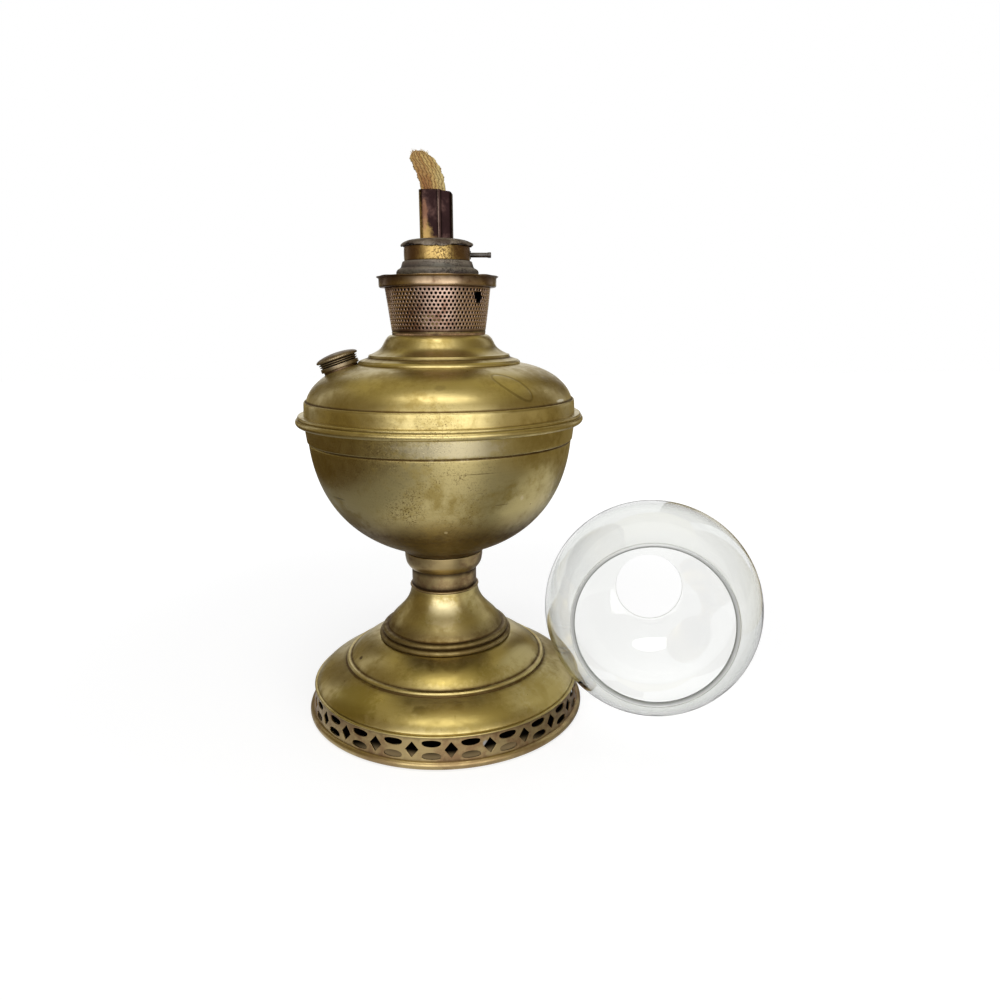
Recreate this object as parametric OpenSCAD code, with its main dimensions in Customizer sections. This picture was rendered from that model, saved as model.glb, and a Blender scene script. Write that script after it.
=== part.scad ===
// Parlor oil lamp with a flat wick burner: pierced foot, domed base, waisted stem,
// round oil font with a side filler, perforated gallery burner and a loose glass globe.
// Millimetres, +Z up, origin at the centre of the foot's underside.

/* [Metal] */
// Thickness of the spun brass shells
wall = 1; // [0.8:0.1:1.2]
// Thickness of the burner's thin sheet pieces
sheet = 0.8; // [0.6:0.1:1]
// Gap between flat faces that part when a piece is unscrewed
seat_gap = 0.05; // [0.02:0.01:0.1]
// Radial clearance of a sleeve or shaft that turns
run_gap = 0.06; // [0.02:0.01:0.1]

/* [Foot] */
// Radius of the foot over its rolled bead
foot_r = 94; // [88:0.5:100]
// Radius of the rolled bead on the floor
foot_bead = 2.7; // [2.2:0.1:3.2]
// Height of the pierced foot up to the base dome
foot_h = 20.2; // [19:0.1:24]
// How far the pierced band leans in from bottom to top
foot_lean = 2; // [0.5:0.1:4]
// How many times the pierced pattern repeats
piercings = 24; // [16:1:26]
// Length of a lens-shaped piercing
lens_l = 11; // [8:0.5:12]
// Depth of a lens-shaped piercing
lens_h = 3; // [2:0.1:3.5]
// Width of a diamond piercing
diamond_w = 7; // [4:0.5:8]
// Height of a diamond piercing
diamond_h = 9; // [6:0.5:10]

/* [Base] */
// Height of the lower dome, from the foot to the step
lower_dome_h = 14; // [10:0.5:18]
// Radius of the step ring between the two domes
step_r = 68; // [60:0.5:74]
// Height and width of the step ring
step_h = 2.6; // [1.5:0.1:3.5]
// Height of the upper dome, from the step to the stem
upper_dome_h = 12.8; // [9:0.5:16]
// Radius where the stem stands on the base
stem_foot_r = 45; // [40:0.5:50]

/* [Stem] */
// Radius of each of the two beads at the bottom of the stem
stem_bead = 1.8; // [1.2:0.1:2.2]
// Height of the stem from the base to its top ring
stem_h = 34.4; // [30:0.2:45]
// Radius of the stem at its narrow top
stem_neck_r = 22.4; // [19:0.2:25]
// Height of the cup that joins the stem to the font
cup_h = 25.5; // [22:0.5:34]
// Radius of the cup where the font sits on it
cup_r = 26; // [24:0.2:29]
// Diameter of the tie rod through the stem
rod_d = 8; // [5:0.5:10]

/* [Font] */
// Radius of the bowl at its groove
bowl_r = 84.3; // [80:0.2:88]
// Height of the bowl from the cup to its groove
bowl_h = 74.5; // [66:0.5:84]
// Height of the plain band from the groove to the seam
band_h = 15; // [12:0.5:20]
// Radius of the band at the seam
band_r = 86.4; // [85.4:0.1:88]
// Radius of the half-round bead over the seam
seam_bead = 3; // [2.4:0.1:3.6]
// How far the bead stands out from the band
seam_out = 5.5; // [4.5:0.1:6]
// Height from the seam to the edge of the top dome
edge_h = 12; // [9:0.5:16]
// Height of the top dome
dome_h = 21.6; // [18:0.2:26]
// Radius of the flat shoulder on top of the dome
shoulder_r = 51.5; // [48:0.5:56]

/* [Burner collar] */
// Height of the threaded collar over the shoulder
collar_h = 18; // [17:0.2:24]
// Radius at the collar's waist step
collar_waist_r = 36; // [34:0.5:40]
// Radius of the collar's top
collar_top_r = 30; // [28:0.2:32]
// Radius of the burner's screw sleeve
screw_r = 23.5; // [22:0.1:25]
// Length of the burner's screw sleeve
screw_l = 7; // [5:0.5:9]
// Thickness of the washer under the burner
washer_t = 1; // [0.8:0.1:2]

/* [Filler] */
// Distance of the filler from the lamp's axis
filler_at = 62.5; // [59:0.5:67]
// Radius of the filler neck
neck_r = 11; // [9:0.1:12]
// Height of the filler neck over the dome
neck_h = 4.4; // [3.5:0.1:6]
// Radius of the filler cap
cap_r = 13; // [12.8:0.1:14]
// Height of the filler cap
cap_h = 8.4; // [7:0.1:10]
// Gap between the cap and the dome
cap_lift = 1.2; // [0.8:0.1:1.6]
// Thickness of the cork gasket in the cap
gasket_t = 1.4; // [1:0.1:2]

/* [Burner] */
// Radius of the basket at its foot
basket_foot_r = 29.6; // [27.5:0.1:31]
// Radius of the basket at its top
basket_top_r = 33; // [32:0.1:35]
// Height of the draft basket
basket_h = 26.6; // [18:0.2:28]
// Radius of the gallery rim at its top edge
rim_r = 38; // [37:0.1:41]
// Height of the gallery rim
rim_h = 6.9; // [5:0.1:12]
// Radius of the burner skirt at its foot
skirt_r = 26.2; // [25:0.1:28]
// Height of the burner skirt
skirt_h = 14.1; // [12:0.1:22]
// Radius of the bright band over the skirt
drum_r = 20.5; // [19:0.1:21]
// Height of the bright band
drum_h = 8.8; // [6:0.1:10]
// Height of the domed burner cap
crown_h = 6; // [4.5:0.1:8]
// Number of draught holes in one ring of the air plate
air_holes = 24; // [12:1:30]

/* [Wick] */
// Width of the flat wick tube
tube_w = 20.6; // [20:0.1:23]
// Depth of the flat wick tube
tube_d = 6.4; // [6:0.1:7]
// Thickness of the wick tube's sheet
tube_wall = 0.6; // [0.4:0.1:0.8]
// How far the wick tube stands over the burner cap
tube_out = 27; // [20:0.5:34]
// How far the wick tube hangs under the burner's floor
tube_in = 5; // [3:0.5:6]
// Width of the woven wick
wick_w = 15.5; // [14:0.5:17]
// Thickness of the woven wick
wick_t = 3; // [2:0.1:3.4]
// How far the wick stands out of the tube
wick_out = 22; // [10:0.5:28]
// Length of wick that hangs under the burner's floor
wick_tail = 108; // [60:1:115]
// How far the tip of the wick leans aside
wick_lean = 7; // [0:0.5:9]
// Diameter of the wick spindle
spindle_d = 2.6; // [2:0.1:3]
// How far the spindle stands out past the bright band
spindle_out = 13.4; // [8:0.2:20]
// Radius of the toothed wheels that feed the wick
wheel_r = 4.5; // [4:0.1:5]

/* [Globe] */
// Radius of the glass globe at its belly
globe_r = 71.5; // [66:0.5:78]
// Radius of the globe's wide fitter end
fitter_r = 50; // [46:0.5:54]
// Length of the short straight fitter
fitter_l = 2; // [1.5:0.5:9]
// Radius of the globe's small top opening
vent_r = 24.5; // [20:0.5:34]
// Thickness of the glass
glass = 2; // [1.6:0.1:2.6]
// Direction of the globe from the lamp, from +X towards +Y, in degrees
globe_bearing = -9.5; // [-40:0.5:10]
// Direction of the globe's axis, from +Y towards +X, in degrees
globe_turn = 14; // [0:1:30]
// How far the globe's axis points up, in degrees
globe_tilt = -8; // [-12:1:0]

/* [Hidden] */
$fn = 96;

// Colours of the finishes
brass = [0.58, 0.49, 0.25];
dark_brass = [0.42, 0.36, 0.19];
copper_brown = [0.45, 0.33, 0.27];
oxide = [0.40, 0.37, 0.34];
gold = [0.75, 0.60, 0.25];
steel = [0.35, 0.35, 0.36];
cork = [0.66, 0.49, 0.31];
wick_tan = [0.74, 0.62, 0.38];
clear = [0.86, 0.91, 0.89, 0.35];

// Curve shapes: two handles, each as shares of the curve's width and height
lower_dome_shape = [0.13, 0.42, 0.56, 0.75];
upper_dome_shape = [0.27, 0.45, 0.59, 0.80];
bell_shape = [0.18, 0.33, 0.90, 0.44];
cup_shape = [0.00, 0.44, 0.86, 0.48];
bowl_shape = [0.49, 0.13, 0.93, 0.43];
font_dome_shape = [0.11, 0.54, 0.53, 0.90];
flare_shape = [0.57, 0.38, 0.86, 0.69];
bulge_shape = [0.25, 0.31, 0.42, 0.88];
cap_top_shape = [0.10, 0.40, 0.50, 1.00];
crown_shape = [0.06, 0.50, 0.40, 0.95];
lean_shape = [0.00, 0.45, 0.75, 0.80];
curve_steps = 20;

// Heights of the main seats
base_z = foot_h;
step_z = base_z + lower_dome_h;
stem_z = step_z + step_h + upper_dome_h;
cup_z = stem_z + stem_h;
font_z = cup_z + cup_h;
groove_z = font_z + bowl_h;
seam_z = groove_z + band_h;
edge_z = seam_z + edge_h;
shoulder_z = edge_z + dome_h;
collar_top_z = shoulder_z + collar_h;
burner_z = collar_top_z + washer_t + 2 * seat_gap;

// Foot
foot_bead_c = foot_r - foot_bead;
foot_flat = 0.2;
foot_bead_z = foot_bead - foot_flat;
band_foot_z = 5;
band_in = 2.4;
band_foot_r = foot_r - band_in;
band_top_r = band_foot_r - foot_lean;
ridge = 0.6;
dome_in = 1;
dome_foot_r = band_top_r - dome_in;
ledge = 5;
pierce_l = 4 * foot_lean + 6 * wall;
pattern_z = (band_foot_z + foot_h - 2 * ridge) / 2;
lens_gap = (foot_h - band_foot_z) / 4;
pattern_start = -6.4;

// Base and stem
step_in = 3.2;
stem_ledge = 10;
bead_in = 0.4;
bell_in = 2.2;
bell_rise = 0.2;
bell_foot_r = stem_foot_r - 2 * stem_bead - bell_in;
bell_foot_z = stem_z + 4 * stem_bead + bell_rise;
neck_ring = 0.7;
neck_ring_h = 3;
waist_in = 0.8;
waist_h = 5;
cup_band_h = 5;
cup_draft = 0.3;
rod_gap = 0.2;
rod_end = 11;
nut_h = 6.5;
nut_d = 2 * rod_d;
tie_washer_t = 2;
tie_washer_lap = 6;
tie_washer_r = stem_foot_r - stem_ledge + tie_washer_lap;

// Font and collar
bowl_foot_out = 7;
bowl_foot_h = 4.8;
groove = 0.9;
groove_h = 1.6;
band_draft = 0.3;
bowl_ease = 0.4;
edge_in = 0.8;
edge_round = 1.2;
dome_r = band_r - edge_in - edge_round;
shoulder_ledge = 7;
collar_steps = [[0, 1.2], [-1.4, 2.4], [-6.4, 4.0], [-7, 5.8], [-8.4, 6.1]];
flare_h = 10.9;
collar_wall = 1.4;
screw_bore_r = screw_r + run_gap;
washer_in = 0.6;

// Filler: its place on the dome and the slope of the dome there
function curve_at(a, b, s, t) =
    let (h1 = [a[0] + s[0] * (b[0] - a[0]), a[1] + s[1] * (b[1] - a[1])],
         h2 = [a[0] + s[2] * (b[0] - a[0]), a[1] + s[3] * (b[1] - a[1])],
         u = 1 - t)
    u * u * u * a + 3 * u * u * t * h1 + 3 * u * t * t * h2 + t * t * t * b;
function curve(a, b, s) = [for (i = [0:curve_steps]) curve_at(a, b, s, i / curve_steps)];
function back(points) = [for (i = [len(points) - 1:-1:0]) points[i]];
function arc(c, r, from, to, steps = 12) =
    [for (i = [0:steps]) let (a = from + (to - from) * i / steps) c + r * [cos(a), sin(a)]];
dome_edge = [dome_r, edge_z];
dome_rim = [shoulder_r, shoulder_z];
function dome_place(r, low = 0, high = 1, n = 24) =
    let (mid = (low + high) / 2)
    n == 0 ? mid
    : curve_at(dome_edge, dome_rim, font_dome_shape, mid)[0] > r ? dome_place(r, mid, high, n - 1)
    : dome_place(r, low, mid, n - 1);
filler_t = dome_place(filler_at);
filler_p = curve_at(dome_edge, dome_rim, font_dome_shape, filler_t);
filler_d = curve_at(dome_edge, dome_rim, font_dome_shape, filler_t + 0.01) - filler_p;
filler_tilt = atan2(filler_d[1], -filler_d[0]);
neck_in = 4;
neck_wall = 1.3;
gasket_in = 0.2;
cap_bore_r = neck_r + run_gap;
cap_ribs = 3;
cap_rib = 0.7;
rib_shape = [[-cap_rib, 0.1], [0, 0.35], [0, 0.65], [-cap_rib, 0.9]];
cap_edge = 0.3;
cap_dome = 1.4;

// Burner
floor_t = 0.8;
basket_z = burner_z + floor_t;
basket_hem = 2.9;
hem_flare = 0.3;
rim_z = basket_z + basket_h;
rim_lip = 1.4;
rim_round = 0.6;
rim_foot_r = rim_r - rim_lip;
plate_z = rim_z + sheet;
plate_gap = 0.4;
plate_r = rim_foot_r - sheet - plate_gap;
plate_bore_r = tube_w / 2 + 2.2;
air_hole_r = 1.5;
air_ring_r = [skirt_r + 2.4, skirt_r + 6.2];
skirt_z = plate_z + sheet;
skirt_knee = 9;
skirt_draft = 0.8;
skirt_lap = 0.9;
drum_z = skirt_z + skirt_h;
crown_z = drum_z + drum_h;
crown_out = 1.9;
crown_r = drum_r + crown_out;
crown_lip = 0.8;
crown_round = 0.3;
crown_flat_r = tube_w / 2 + 1.2;
crown_top_z = crown_z + crown_h;
slot_gap = 0.05;

// Wick, spindle and toothed wheels
tube_top_z = crown_top_z + tube_out;
tube_foot_z = burner_z - tube_in;
wick_gap = 0.3;
mouth_half = (tube_w - tube_d) / 2 + sqrt(pow(tube_d / 2 - tube_wall, 2) - pow(wick_t / 2, 2));
wick_x = -(mouth_half - wick_gap - wick_w / 2);
wick_top_z = tube_top_z + wick_out;
wick_root = 3;
wick_crown = 2;
wick_corner = 1.5;
wick_foot_z = burner_z - wick_tail;
spindle_y = wick_t / 2 + wick_gap + wheel_r;
spindle_z = drum_z + drum_h / 2;
spindle_end_x = drum_r + spindle_out;
bush_wall = 1.3;
bush_r = spindle_d / 2 + bush_wall;
bush_l = 4.6;
bush_proud = 1.6;
wheel_t = 1.4;
wheel_x = [wick_x - wick_w / 4, wick_x + wick_w / 4];
wheel_teeth = 12;
wheel_tooth = 1;
window_gap = 0.4;

// Globe: a ball with two openings, lying on the floor beside the base
fitter_at = sqrt(pow(globe_r, 2) - pow(fitter_r, 2));
fitter_lip = 1;
globe_gap = 0.3;
function reach(p) =
    let (h = globe_r - p[1], c = globe_r + globe_gap)
    abs(h) < c ? p[0] + sqrt(c * c - h * h) : 0;
base_outline = concat(
    [[foot_r, foot_bead_z], [band_top_r + ridge, foot_h]],
    curve([dome_foot_r, base_z], [step_r, step_z], lower_dome_shape),
    [[step_r, step_z + step_h]]);
globe_at = max([for (p = base_outline) reach(p)]);

// A shell turned about the Z axis, from its outer and inner outlines
module turned(outer, inner) {
    rotate_extrude() polygon(concat(outer, back(inner)));
}

// A flat bar's outline with round long ends, used by the wick tube and its slots
module flat_tube_2d(w, d) {
    square([w - d, d], center = true);
    for (side = [-1, 1]) translate([side * (w - d) / 2, 0]) circle(d = d);
}

// A lens with one straight side, pointing down
module lens_2d() {
    bow_r = (pow(lens_l / 2, 2) + pow(lens_h, 2)) / (2 * lens_h);
    half = asin(lens_l / 2 / bow_r);
    polygon(arc([0, bow_r - lens_h], bow_r, -90 - half, -90 + half, 8));
}

module diamond_2d() {
    polygon([[diamond_w / 2, 0], [0, diamond_h / 2], [-diamond_w / 2, 0], [0, -diamond_h / 2]]);
}

// Stands a flat outline on the pierced band, at an angle from the lamp's front
module on_band(angle, z) {
    rotate([0, 0, angle - 90]) translate([band_top_r, 0, z]) rotate([90, 0, 90])
        linear_extrude(height = pierce_l, center = true) children();
}

module foot_ring() {
    color(brass) difference() {
        union() {
            turned(
                concat([[band_foot_r, foot_bead_z + foot_bead / 2], [band_foot_r, band_foot_z]],
                    arc([band_top_r, foot_h - ridge], ridge, -90, 90, 6),
                    [[dome_foot_r - ledge, foot_h]]),
                [[band_foot_r - wall, foot_bead_z + foot_bead / 2], [band_foot_r - wall, band_foot_z],
                 [band_top_r - wall, foot_h - wall], [dome_foot_r - ledge, foot_h - wall]]);
            difference() {
                translate([0, 0, foot_bead_z]) rotate_extrude()
                    translate([foot_bead_c, 0]) circle(r = foot_bead);
                translate([0, 0, -foot_bead]) cylinder(r = foot_r + 1, h = foot_bead);
            }
        }
        for (i = [0:piercings - 1]) {
            angle = pattern_start + i * 360 / piercings;
            on_band(angle, pattern_z + lens_gap) translate([0, lens_h / 2]) lens_2d();
            on_band(angle, pattern_z - lens_gap) translate([0, -lens_h / 2]) mirror([0, 1]) lens_2d();
            on_band(angle + 180 / piercings, pattern_z) diamond_2d();
        }
    }
}

module base_dome() {
    color(brass) turned(
        concat(curve([dome_foot_r, base_z], [step_r, step_z], lower_dome_shape),
            arc([step_r - step_h / 2, step_z + step_h / 2], step_h / 2, -30, 120, 6),
            curve([step_r - step_in, step_z + step_h], [stem_foot_r, stem_z], upper_dome_shape),
            [[stem_foot_r - stem_ledge, stem_z]]),
        concat(curve([dome_foot_r - wall, base_z], [step_r - wall, step_z - wall], lower_dome_shape),
            curve([step_r - step_in - wall, step_z + step_h - wall],
                [stem_foot_r, stem_z - wall], upper_dome_shape),
            [[stem_foot_r - stem_ledge, stem_z - wall]]));
}

module stem() {
    bead_r = [stem_foot_r - stem_bead, stem_foot_r - 2 * stem_bead - bead_in];
    color(brass) turned(
        concat(arc([bead_r[0], stem_z + stem_bead], stem_bead, -90, 90, 8),
            arc([bead_r[1], stem_z + 3 * stem_bead], stem_bead, -70, 90, 8),
            curve([bell_foot_r, bell_foot_z], [stem_neck_r, cup_z], bell_shape),
            [[rod_d / 2 + rod_gap, cup_z]]),
        concat([[bell_foot_r - wall, stem_z]],
            curve([bell_foot_r - wall, bell_foot_z], [stem_neck_r - wall, cup_z - wall], bell_shape),
            [[rod_d / 2 + rod_gap, cup_z - wall]]));
}

module stem_cup() {
    waist = [stem_neck_r - waist_in, cup_z + neck_ring_h + waist_h];
    top = [cup_r - cup_draft, font_z - cup_band_h];
    color(brass) turned(
        concat([[stem_neck_r, cup_z]],
            arc([stem_neck_r, cup_z + neck_ring_h / 2], neck_ring, -90, 90, 6),
            [[stem_neck_r, cup_z + neck_ring_h]],
            curve(waist, top, cup_shape),
            [[cup_r, font_z]]),
        concat([[waist[0] - wall, cup_z]],
            curve(waist - [wall, 0], top - [wall, 0], cup_shape),
            [[cup_r - wall - cup_draft, font_z]]));
}

module tie_rod() {
    color(steel) translate([0, 0, stem_z - rod_end])
        cylinder(d = rod_d, h = font_z - stem_z + rod_end);
}

module tie_washer() {
    color(steel) translate([0, 0, stem_z - wall - tie_washer_t]) difference() {
        cylinder(r = tie_washer_r, h = tie_washer_t);
        translate([0, 0, -1]) cylinder(r = rod_d / 2 + rod_gap, h = tie_washer_t + 2);
    }
}

module tie_nut() {
    color(steel) translate([0, 0, stem_z - wall - tie_washer_t - nut_h]) difference() {
        cylinder(d = nut_d, h = nut_h, $fn = 6);
        translate([0, 0, -1]) cylinder(r = rod_d / 2 + run_gap, h = nut_h + 2);
    }
}

module font_bowl() {
    foot = [cup_r + bowl_foot_out, font_z + bowl_foot_h];
    band = [[bowl_r - groove / 2, groove_z + groove_h / 2], [bowl_r + groove, groove_z + groove_h],
        [band_r - band_draft, seam_z - 2 * seam_bead], [band_r, seam_z - seam_bead], [band_r, seam_z]];
    color(brass) turned(
        concat([[0, font_z], [cup_r, font_z]], curve(foot, [bowl_r, groove_z], bowl_shape), band),
        concat([[0, font_z + wall], [cup_r - bowl_ease, font_z + wall]],
            curve(foot + [-bowl_ease, wall], [bowl_r - wall - groove / 2, groove_z], bowl_shape),
            [for (p = band) p - [wall, 0]]));
}

module seam_ring() {
    color(brass) difference() {
        translate([0, 0, seam_z]) rotate_extrude()
            translate([band_r + seam_out - seam_bead, 0]) circle(r = seam_bead);
        translate([0, 0, seam_z - seam_bead - 1]) cylinder(r = band_r, h = 2 * seam_bead + 2);
    }
}

module font_top() {
    color(brass) difference() {
        turned(
            concat([[band_r, seam_z], [band_r, seam_z + seam_bead],
                    [band_r - edge_in / 2, edge_z - edge_round], [band_r - edge_in, edge_z - edge_round / 2],
                    [dome_r + edge_round / 2, edge_z]],
                curve(dome_edge, dome_rim, font_dome_shape),
                [[shoulder_r - shoulder_ledge, shoulder_z]]),
            concat([[band_r - wall, seam_z], [band_r - wall, seam_z + seam_bead],
                    [band_r - edge_in / 2 - wall, edge_z - edge_round]],
                curve(dome_edge - [wall, 0], dome_rim - [0, wall], font_dome_shape),
                [[shoulder_r - shoulder_ledge, shoulder_z - wall]]));
        at_filler() translate([0, 0, -2 * neck_in]) cylinder(r = neck_r, h = 4 * neck_in);
    }
}

module font_collar() {
    steps = [for (s = collar_steps) [shoulder_r + s[0], shoulder_z + s[1]]];
    last = steps[len(steps) - 1];
    waist = [collar_waist_r, shoulder_z + flare_h];
    top = [collar_top_r, collar_top_z];
    color(brass) turned(
        concat([[shoulder_r, shoulder_z]], steps,
            curve(last, waist, flare_shape), curve(waist, top, bulge_shape)),
        [[shoulder_r - shoulder_ledge, shoulder_z],
         [last[0] - collar_wall, last[1] - collar_wall],
         [waist[0] - collar_wall, waist[1] - collar_wall],
         [waist[0] - 2 * collar_wall, collar_top_z - screw_l - collar_wall],
         [screw_bore_r, collar_top_z - screw_l], [screw_bore_r, collar_top_z]]);
}

// Frame of the filler: its Z axis stands square on the dome
module at_filler() {
    translate([-filler_p[0], 0, filler_p[1]]) rotate([0, -filler_tilt, 0]) children();
}

module filler_neck() {
    color(dark_brass) at_filler() translate([0, 0, -neck_in]) difference() {
        cylinder(r = neck_r, h = neck_in + neck_h);
        translate([0, 0, -1]) cylinder(r = neck_r - neck_wall, h = neck_in + neck_h + 2);
    }
}

module filler_gasket() {
    color(cork) at_filler() translate([0, 0, neck_h + seat_gap]) difference() {
        cylinder(r = neck_r - gasket_in, h = gasket_t);
        translate([0, 0, -1]) cylinder(r = neck_r - neck_wall - 2 * gasket_in, h = gasket_t + 2);
    }
}

module filler_cap() {
    roof = neck_h + gasket_t + 2 * seat_gap - cap_lift;
    rib_h = roof / cap_ribs;
    ribs = [for (i = [0:cap_ribs - 1], p = rib_shape) [cap_r + p[0], (i + p[1]) * rib_h]];
    color(brass) at_filler() translate([0, 0, cap_lift]) turned(
        concat([[cap_bore_r, 0], [cap_r - cap_rib, 0]], ribs,
            [[cap_r - cap_rib, roof + cap_edge], [cap_r, roof + 2 * cap_edge]],
            curve([cap_r - cap_edge, cap_h - cap_dome], [0, cap_h], cap_top_shape)),
        [[cap_bore_r, roof], [0, roof]]);
}

module collar_washer() {
    color(cork) translate([0, 0, collar_top_z + seat_gap]) difference() {
        cylinder(r = collar_top_r - washer_in, h = washer_t);
        translate([0, 0, -1]) cylinder(r = screw_r + washer_in, h = washer_t + 2);
    }
}

module burner_floor() {
    color(dark_brass) difference() {
        union() {
            translate([0, 0, burner_z]) cylinder(r = basket_foot_r, h = floor_t);
            translate([0, 0, collar_top_z - screw_l]) difference() {
                cylinder(r = screw_r, h = burner_z - collar_top_z + screw_l + floor_t);
                translate([0, 0, -1])
                    cylinder(r = screw_r - 2 * sheet, h = burner_z - collar_top_z + screw_l + 1);
            }
        }
        translate([0, 0, burner_z - 1]) linear_extrude(height = floor_t + 2)
            flat_tube_2d(tube_w + 2 * slot_gap, tube_d + 2 * slot_gap);
    }
}

module draft_basket() {
    color(copper_brown) turned(
        [[basket_foot_r, basket_z], [basket_foot_r + hem_flare, basket_z + basket_hem],
         [basket_top_r, rim_z]],
        [[basket_foot_r - sheet, basket_z], [basket_foot_r + hem_flare - sheet, basket_z + basket_hem],
         [basket_top_r - sheet, rim_z]]);
}

module gallery_rim() {
    lip_z = rim_z + rim_h - rim_lip;
    color(dark_brass) turned(
        [[basket_top_r - 2 * sheet, rim_z], [rim_foot_r - rim_round, rim_z],
         [rim_foot_r, rim_z + rim_round], [rim_foot_r, lip_z], [rim_r, rim_z + rim_h - rim_round / 2],
         [rim_r, rim_z + rim_h]],
        [[basket_top_r - 2 * sheet, rim_z + sheet], [rim_foot_r - sheet, rim_z + sheet],
         [rim_foot_r - sheet, lip_z], [rim_r - sheet, rim_z + rim_h]]);
}

module air_plate() {
    color(copper_brown) translate([0, 0, plate_z]) difference() {
        cylinder(r = plate_r, h = sheet);
        translate([0, 0, -1]) cylinder(r = plate_bore_r, h = sheet + 2);
        for (ring = [0:1], i = [0:air_holes - 1])
            rotate([0, 0, (i + ring / 2) * 360 / air_holes]) translate([air_ring_r[ring], 0, -1])
                cylinder(r = air_hole_r, h = sheet + 2, $fn = 24);
    }
}

module burner_skirt() {
    knee = [skirt_r - skirt_draft, skirt_z + skirt_knee];
    shoulder = [drum_r + skirt_lap, drum_z];
    color(oxide) turned(
        [[skirt_r, skirt_z], knee, shoulder, [drum_r - 2 * sheet, drum_z]],
        [[skirt_r - sheet, skirt_z], knee - [sheet, sheet / 2], shoulder - [sheet, sheet],
         [drum_r - 2 * sheet, drum_z - sheet]]);
}

// Frame of the wick spindle: its Z axis lies along +X
module at_spindle(x) {
    translate([x, spindle_y, spindle_z]) rotate([0, 90, 0]) children();
}

module burner_drum() {
    color(gold) difference() {
        translate([0, 0, drum_z]) cylinder(r = drum_r, h = drum_h);
        translate([0, 0, drum_z - 1]) cylinder(r = drum_r - sheet, h = drum_h + 2);
        at_spindle(0) cylinder(r = bush_r, h = drum_r + 1);
    }
}

module burner_crown() {
    lip_z = crown_z + crown_lip;
    color(oxide) difference() {
        turned(
            concat([[crown_r - crown_round, crown_z]],
                curve([crown_r, lip_z], [crown_flat_r, crown_top_z], crown_shape), [[0, crown_top_z]]),
            concat([[drum_r - 2 * sheet, crown_z]],
                curve([crown_r - 3 * sheet, lip_z], [crown_flat_r, crown_top_z - sheet], crown_shape),
                [[0, crown_top_z - sheet]]));
        translate([0, 0, crown_z]) linear_extrude(height = crown_h + 1)
            flat_tube_2d(tube_w + 2 * slot_gap, tube_d + 2 * slot_gap);
    }
}

module wick_tube() {
    window_h = 2 * (sqrt(pow(wheel_r, 2) - pow(spindle_y - tube_d / 2, 2)) + window_gap);
    color(oxide) difference() {
        translate([0, 0, tube_foot_z]) linear_extrude(height = tube_top_z - tube_foot_z) difference() {
            flat_tube_2d(tube_w, tube_d);
            flat_tube_2d(tube_w - 2 * tube_wall, tube_d - 2 * tube_wall);
        }
        for (x = wheel_x) translate([x, tube_d / 2, spindle_z])
            cube([wheel_t + 2 * window_gap, 3 * tube_wall, window_h], center = true);
    }
}

// Two plain bearings: one through the wall of the bright band, one against its inner side
module spindle_bushes() {
    wall_x = sqrt(pow(drum_r, 2) - pow(spindle_y, 2));
    color(steel) difference() {
        union() {
            at_spindle(wall_x + bush_proud - bush_l) cylinder(r = bush_r, h = bush_l);
            intersection() {
                at_spindle(-drum_r) cylinder(r = bush_r, h = drum_r - wall_x + bush_l);
                translate([0, 0, drum_z]) cylinder(r = drum_r - sheet, h = drum_h);
            }
        }
        at_spindle(-drum_r - 1) cylinder(r = spindle_d / 2 + run_gap, h = 3 * drum_r);
    }
}

module wick_spindle() {
    inner_end_x = -sqrt(pow(drum_r - sheet, 2) - pow(spindle_y + spindle_d / 2, 2)) + wick_gap;
    color(steel) at_spindle(inner_end_x) cylinder(d = spindle_d, h = spindle_end_x - inner_end_x);
}

module wick_wheels() {
    step = 360 / wheel_teeth;
    color(steel) for (x = wheel_x) at_spindle(x - wheel_t / 2) linear_extrude(height = wheel_t)
        difference() {
            polygon([for (i = [0:2 * wheel_teeth - 1])
                (i % 2 == 0 ? wheel_r : wheel_r - wheel_tooth) * [cos(i * step / 2), sin(i * step / 2)]]);
            circle(d = spindle_d);
        }
}

// One flat woven strip: straight in the tube, leaning to -X over the mouth
module wick() {
    half = wick_w / 2;
    root = tube_top_z - wick_root;
    left_tip = [wick_x - half - wick_lean, wick_top_z - wick_crown];
    right_tip = [wick_x + half - wick_lean, wick_top_z - 2 * wick_crown];
    color(wick_tan) translate([0, wick_t / 2, 0]) rotate([90, 0, 0]) linear_extrude(height = wick_t)
        polygon(concat([[wick_x + half, wick_foot_z]],
            curve([wick_x + half, root], right_tip, lean_shape),
            [[right_tip[0] - wick_corner, wick_top_z - wick_crown / 3], [wick_x - wick_lean, wick_top_z],
             [left_tip[0] + wick_corner, wick_top_z - wick_crown / 6]],
            back(curve([wick_x - half, root], left_tip, lean_shape)),
            [[wick_x - half, wick_foot_z]]));
}

// Frame of the globe: its Z axis runs from the wide fitter towards the small opening
module at_globe() {
    translate([globe_at * cos(globe_bearing), globe_at * sin(globe_bearing), globe_r])
        rotate([globe_tilt - 90, 0, -globe_turn]) children();
}

module glass_globe() {
    color(clear) at_globe() difference() {
        union() {
            difference() {
                sphere(r = globe_r);
                translate([0, 0, -fitter_at - globe_r]) cylinder(r = globe_r, h = globe_r);
            }
            translate([0, 0, -fitter_at - fitter_l]) cylinder(r = fitter_r, h = fitter_at);
            translate([0, 0, -fitter_at - fitter_l])
                cylinder(r = fitter_r + fitter_lip, h = fitter_l / 2);
        }
        sphere(r = globe_r - glass);
        cylinder(r = vent_r, h = globe_r + 1);
        translate([0, 0, -globe_r]) cylinder(r = fitter_r - glass, h = globe_r);
    }
}

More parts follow.
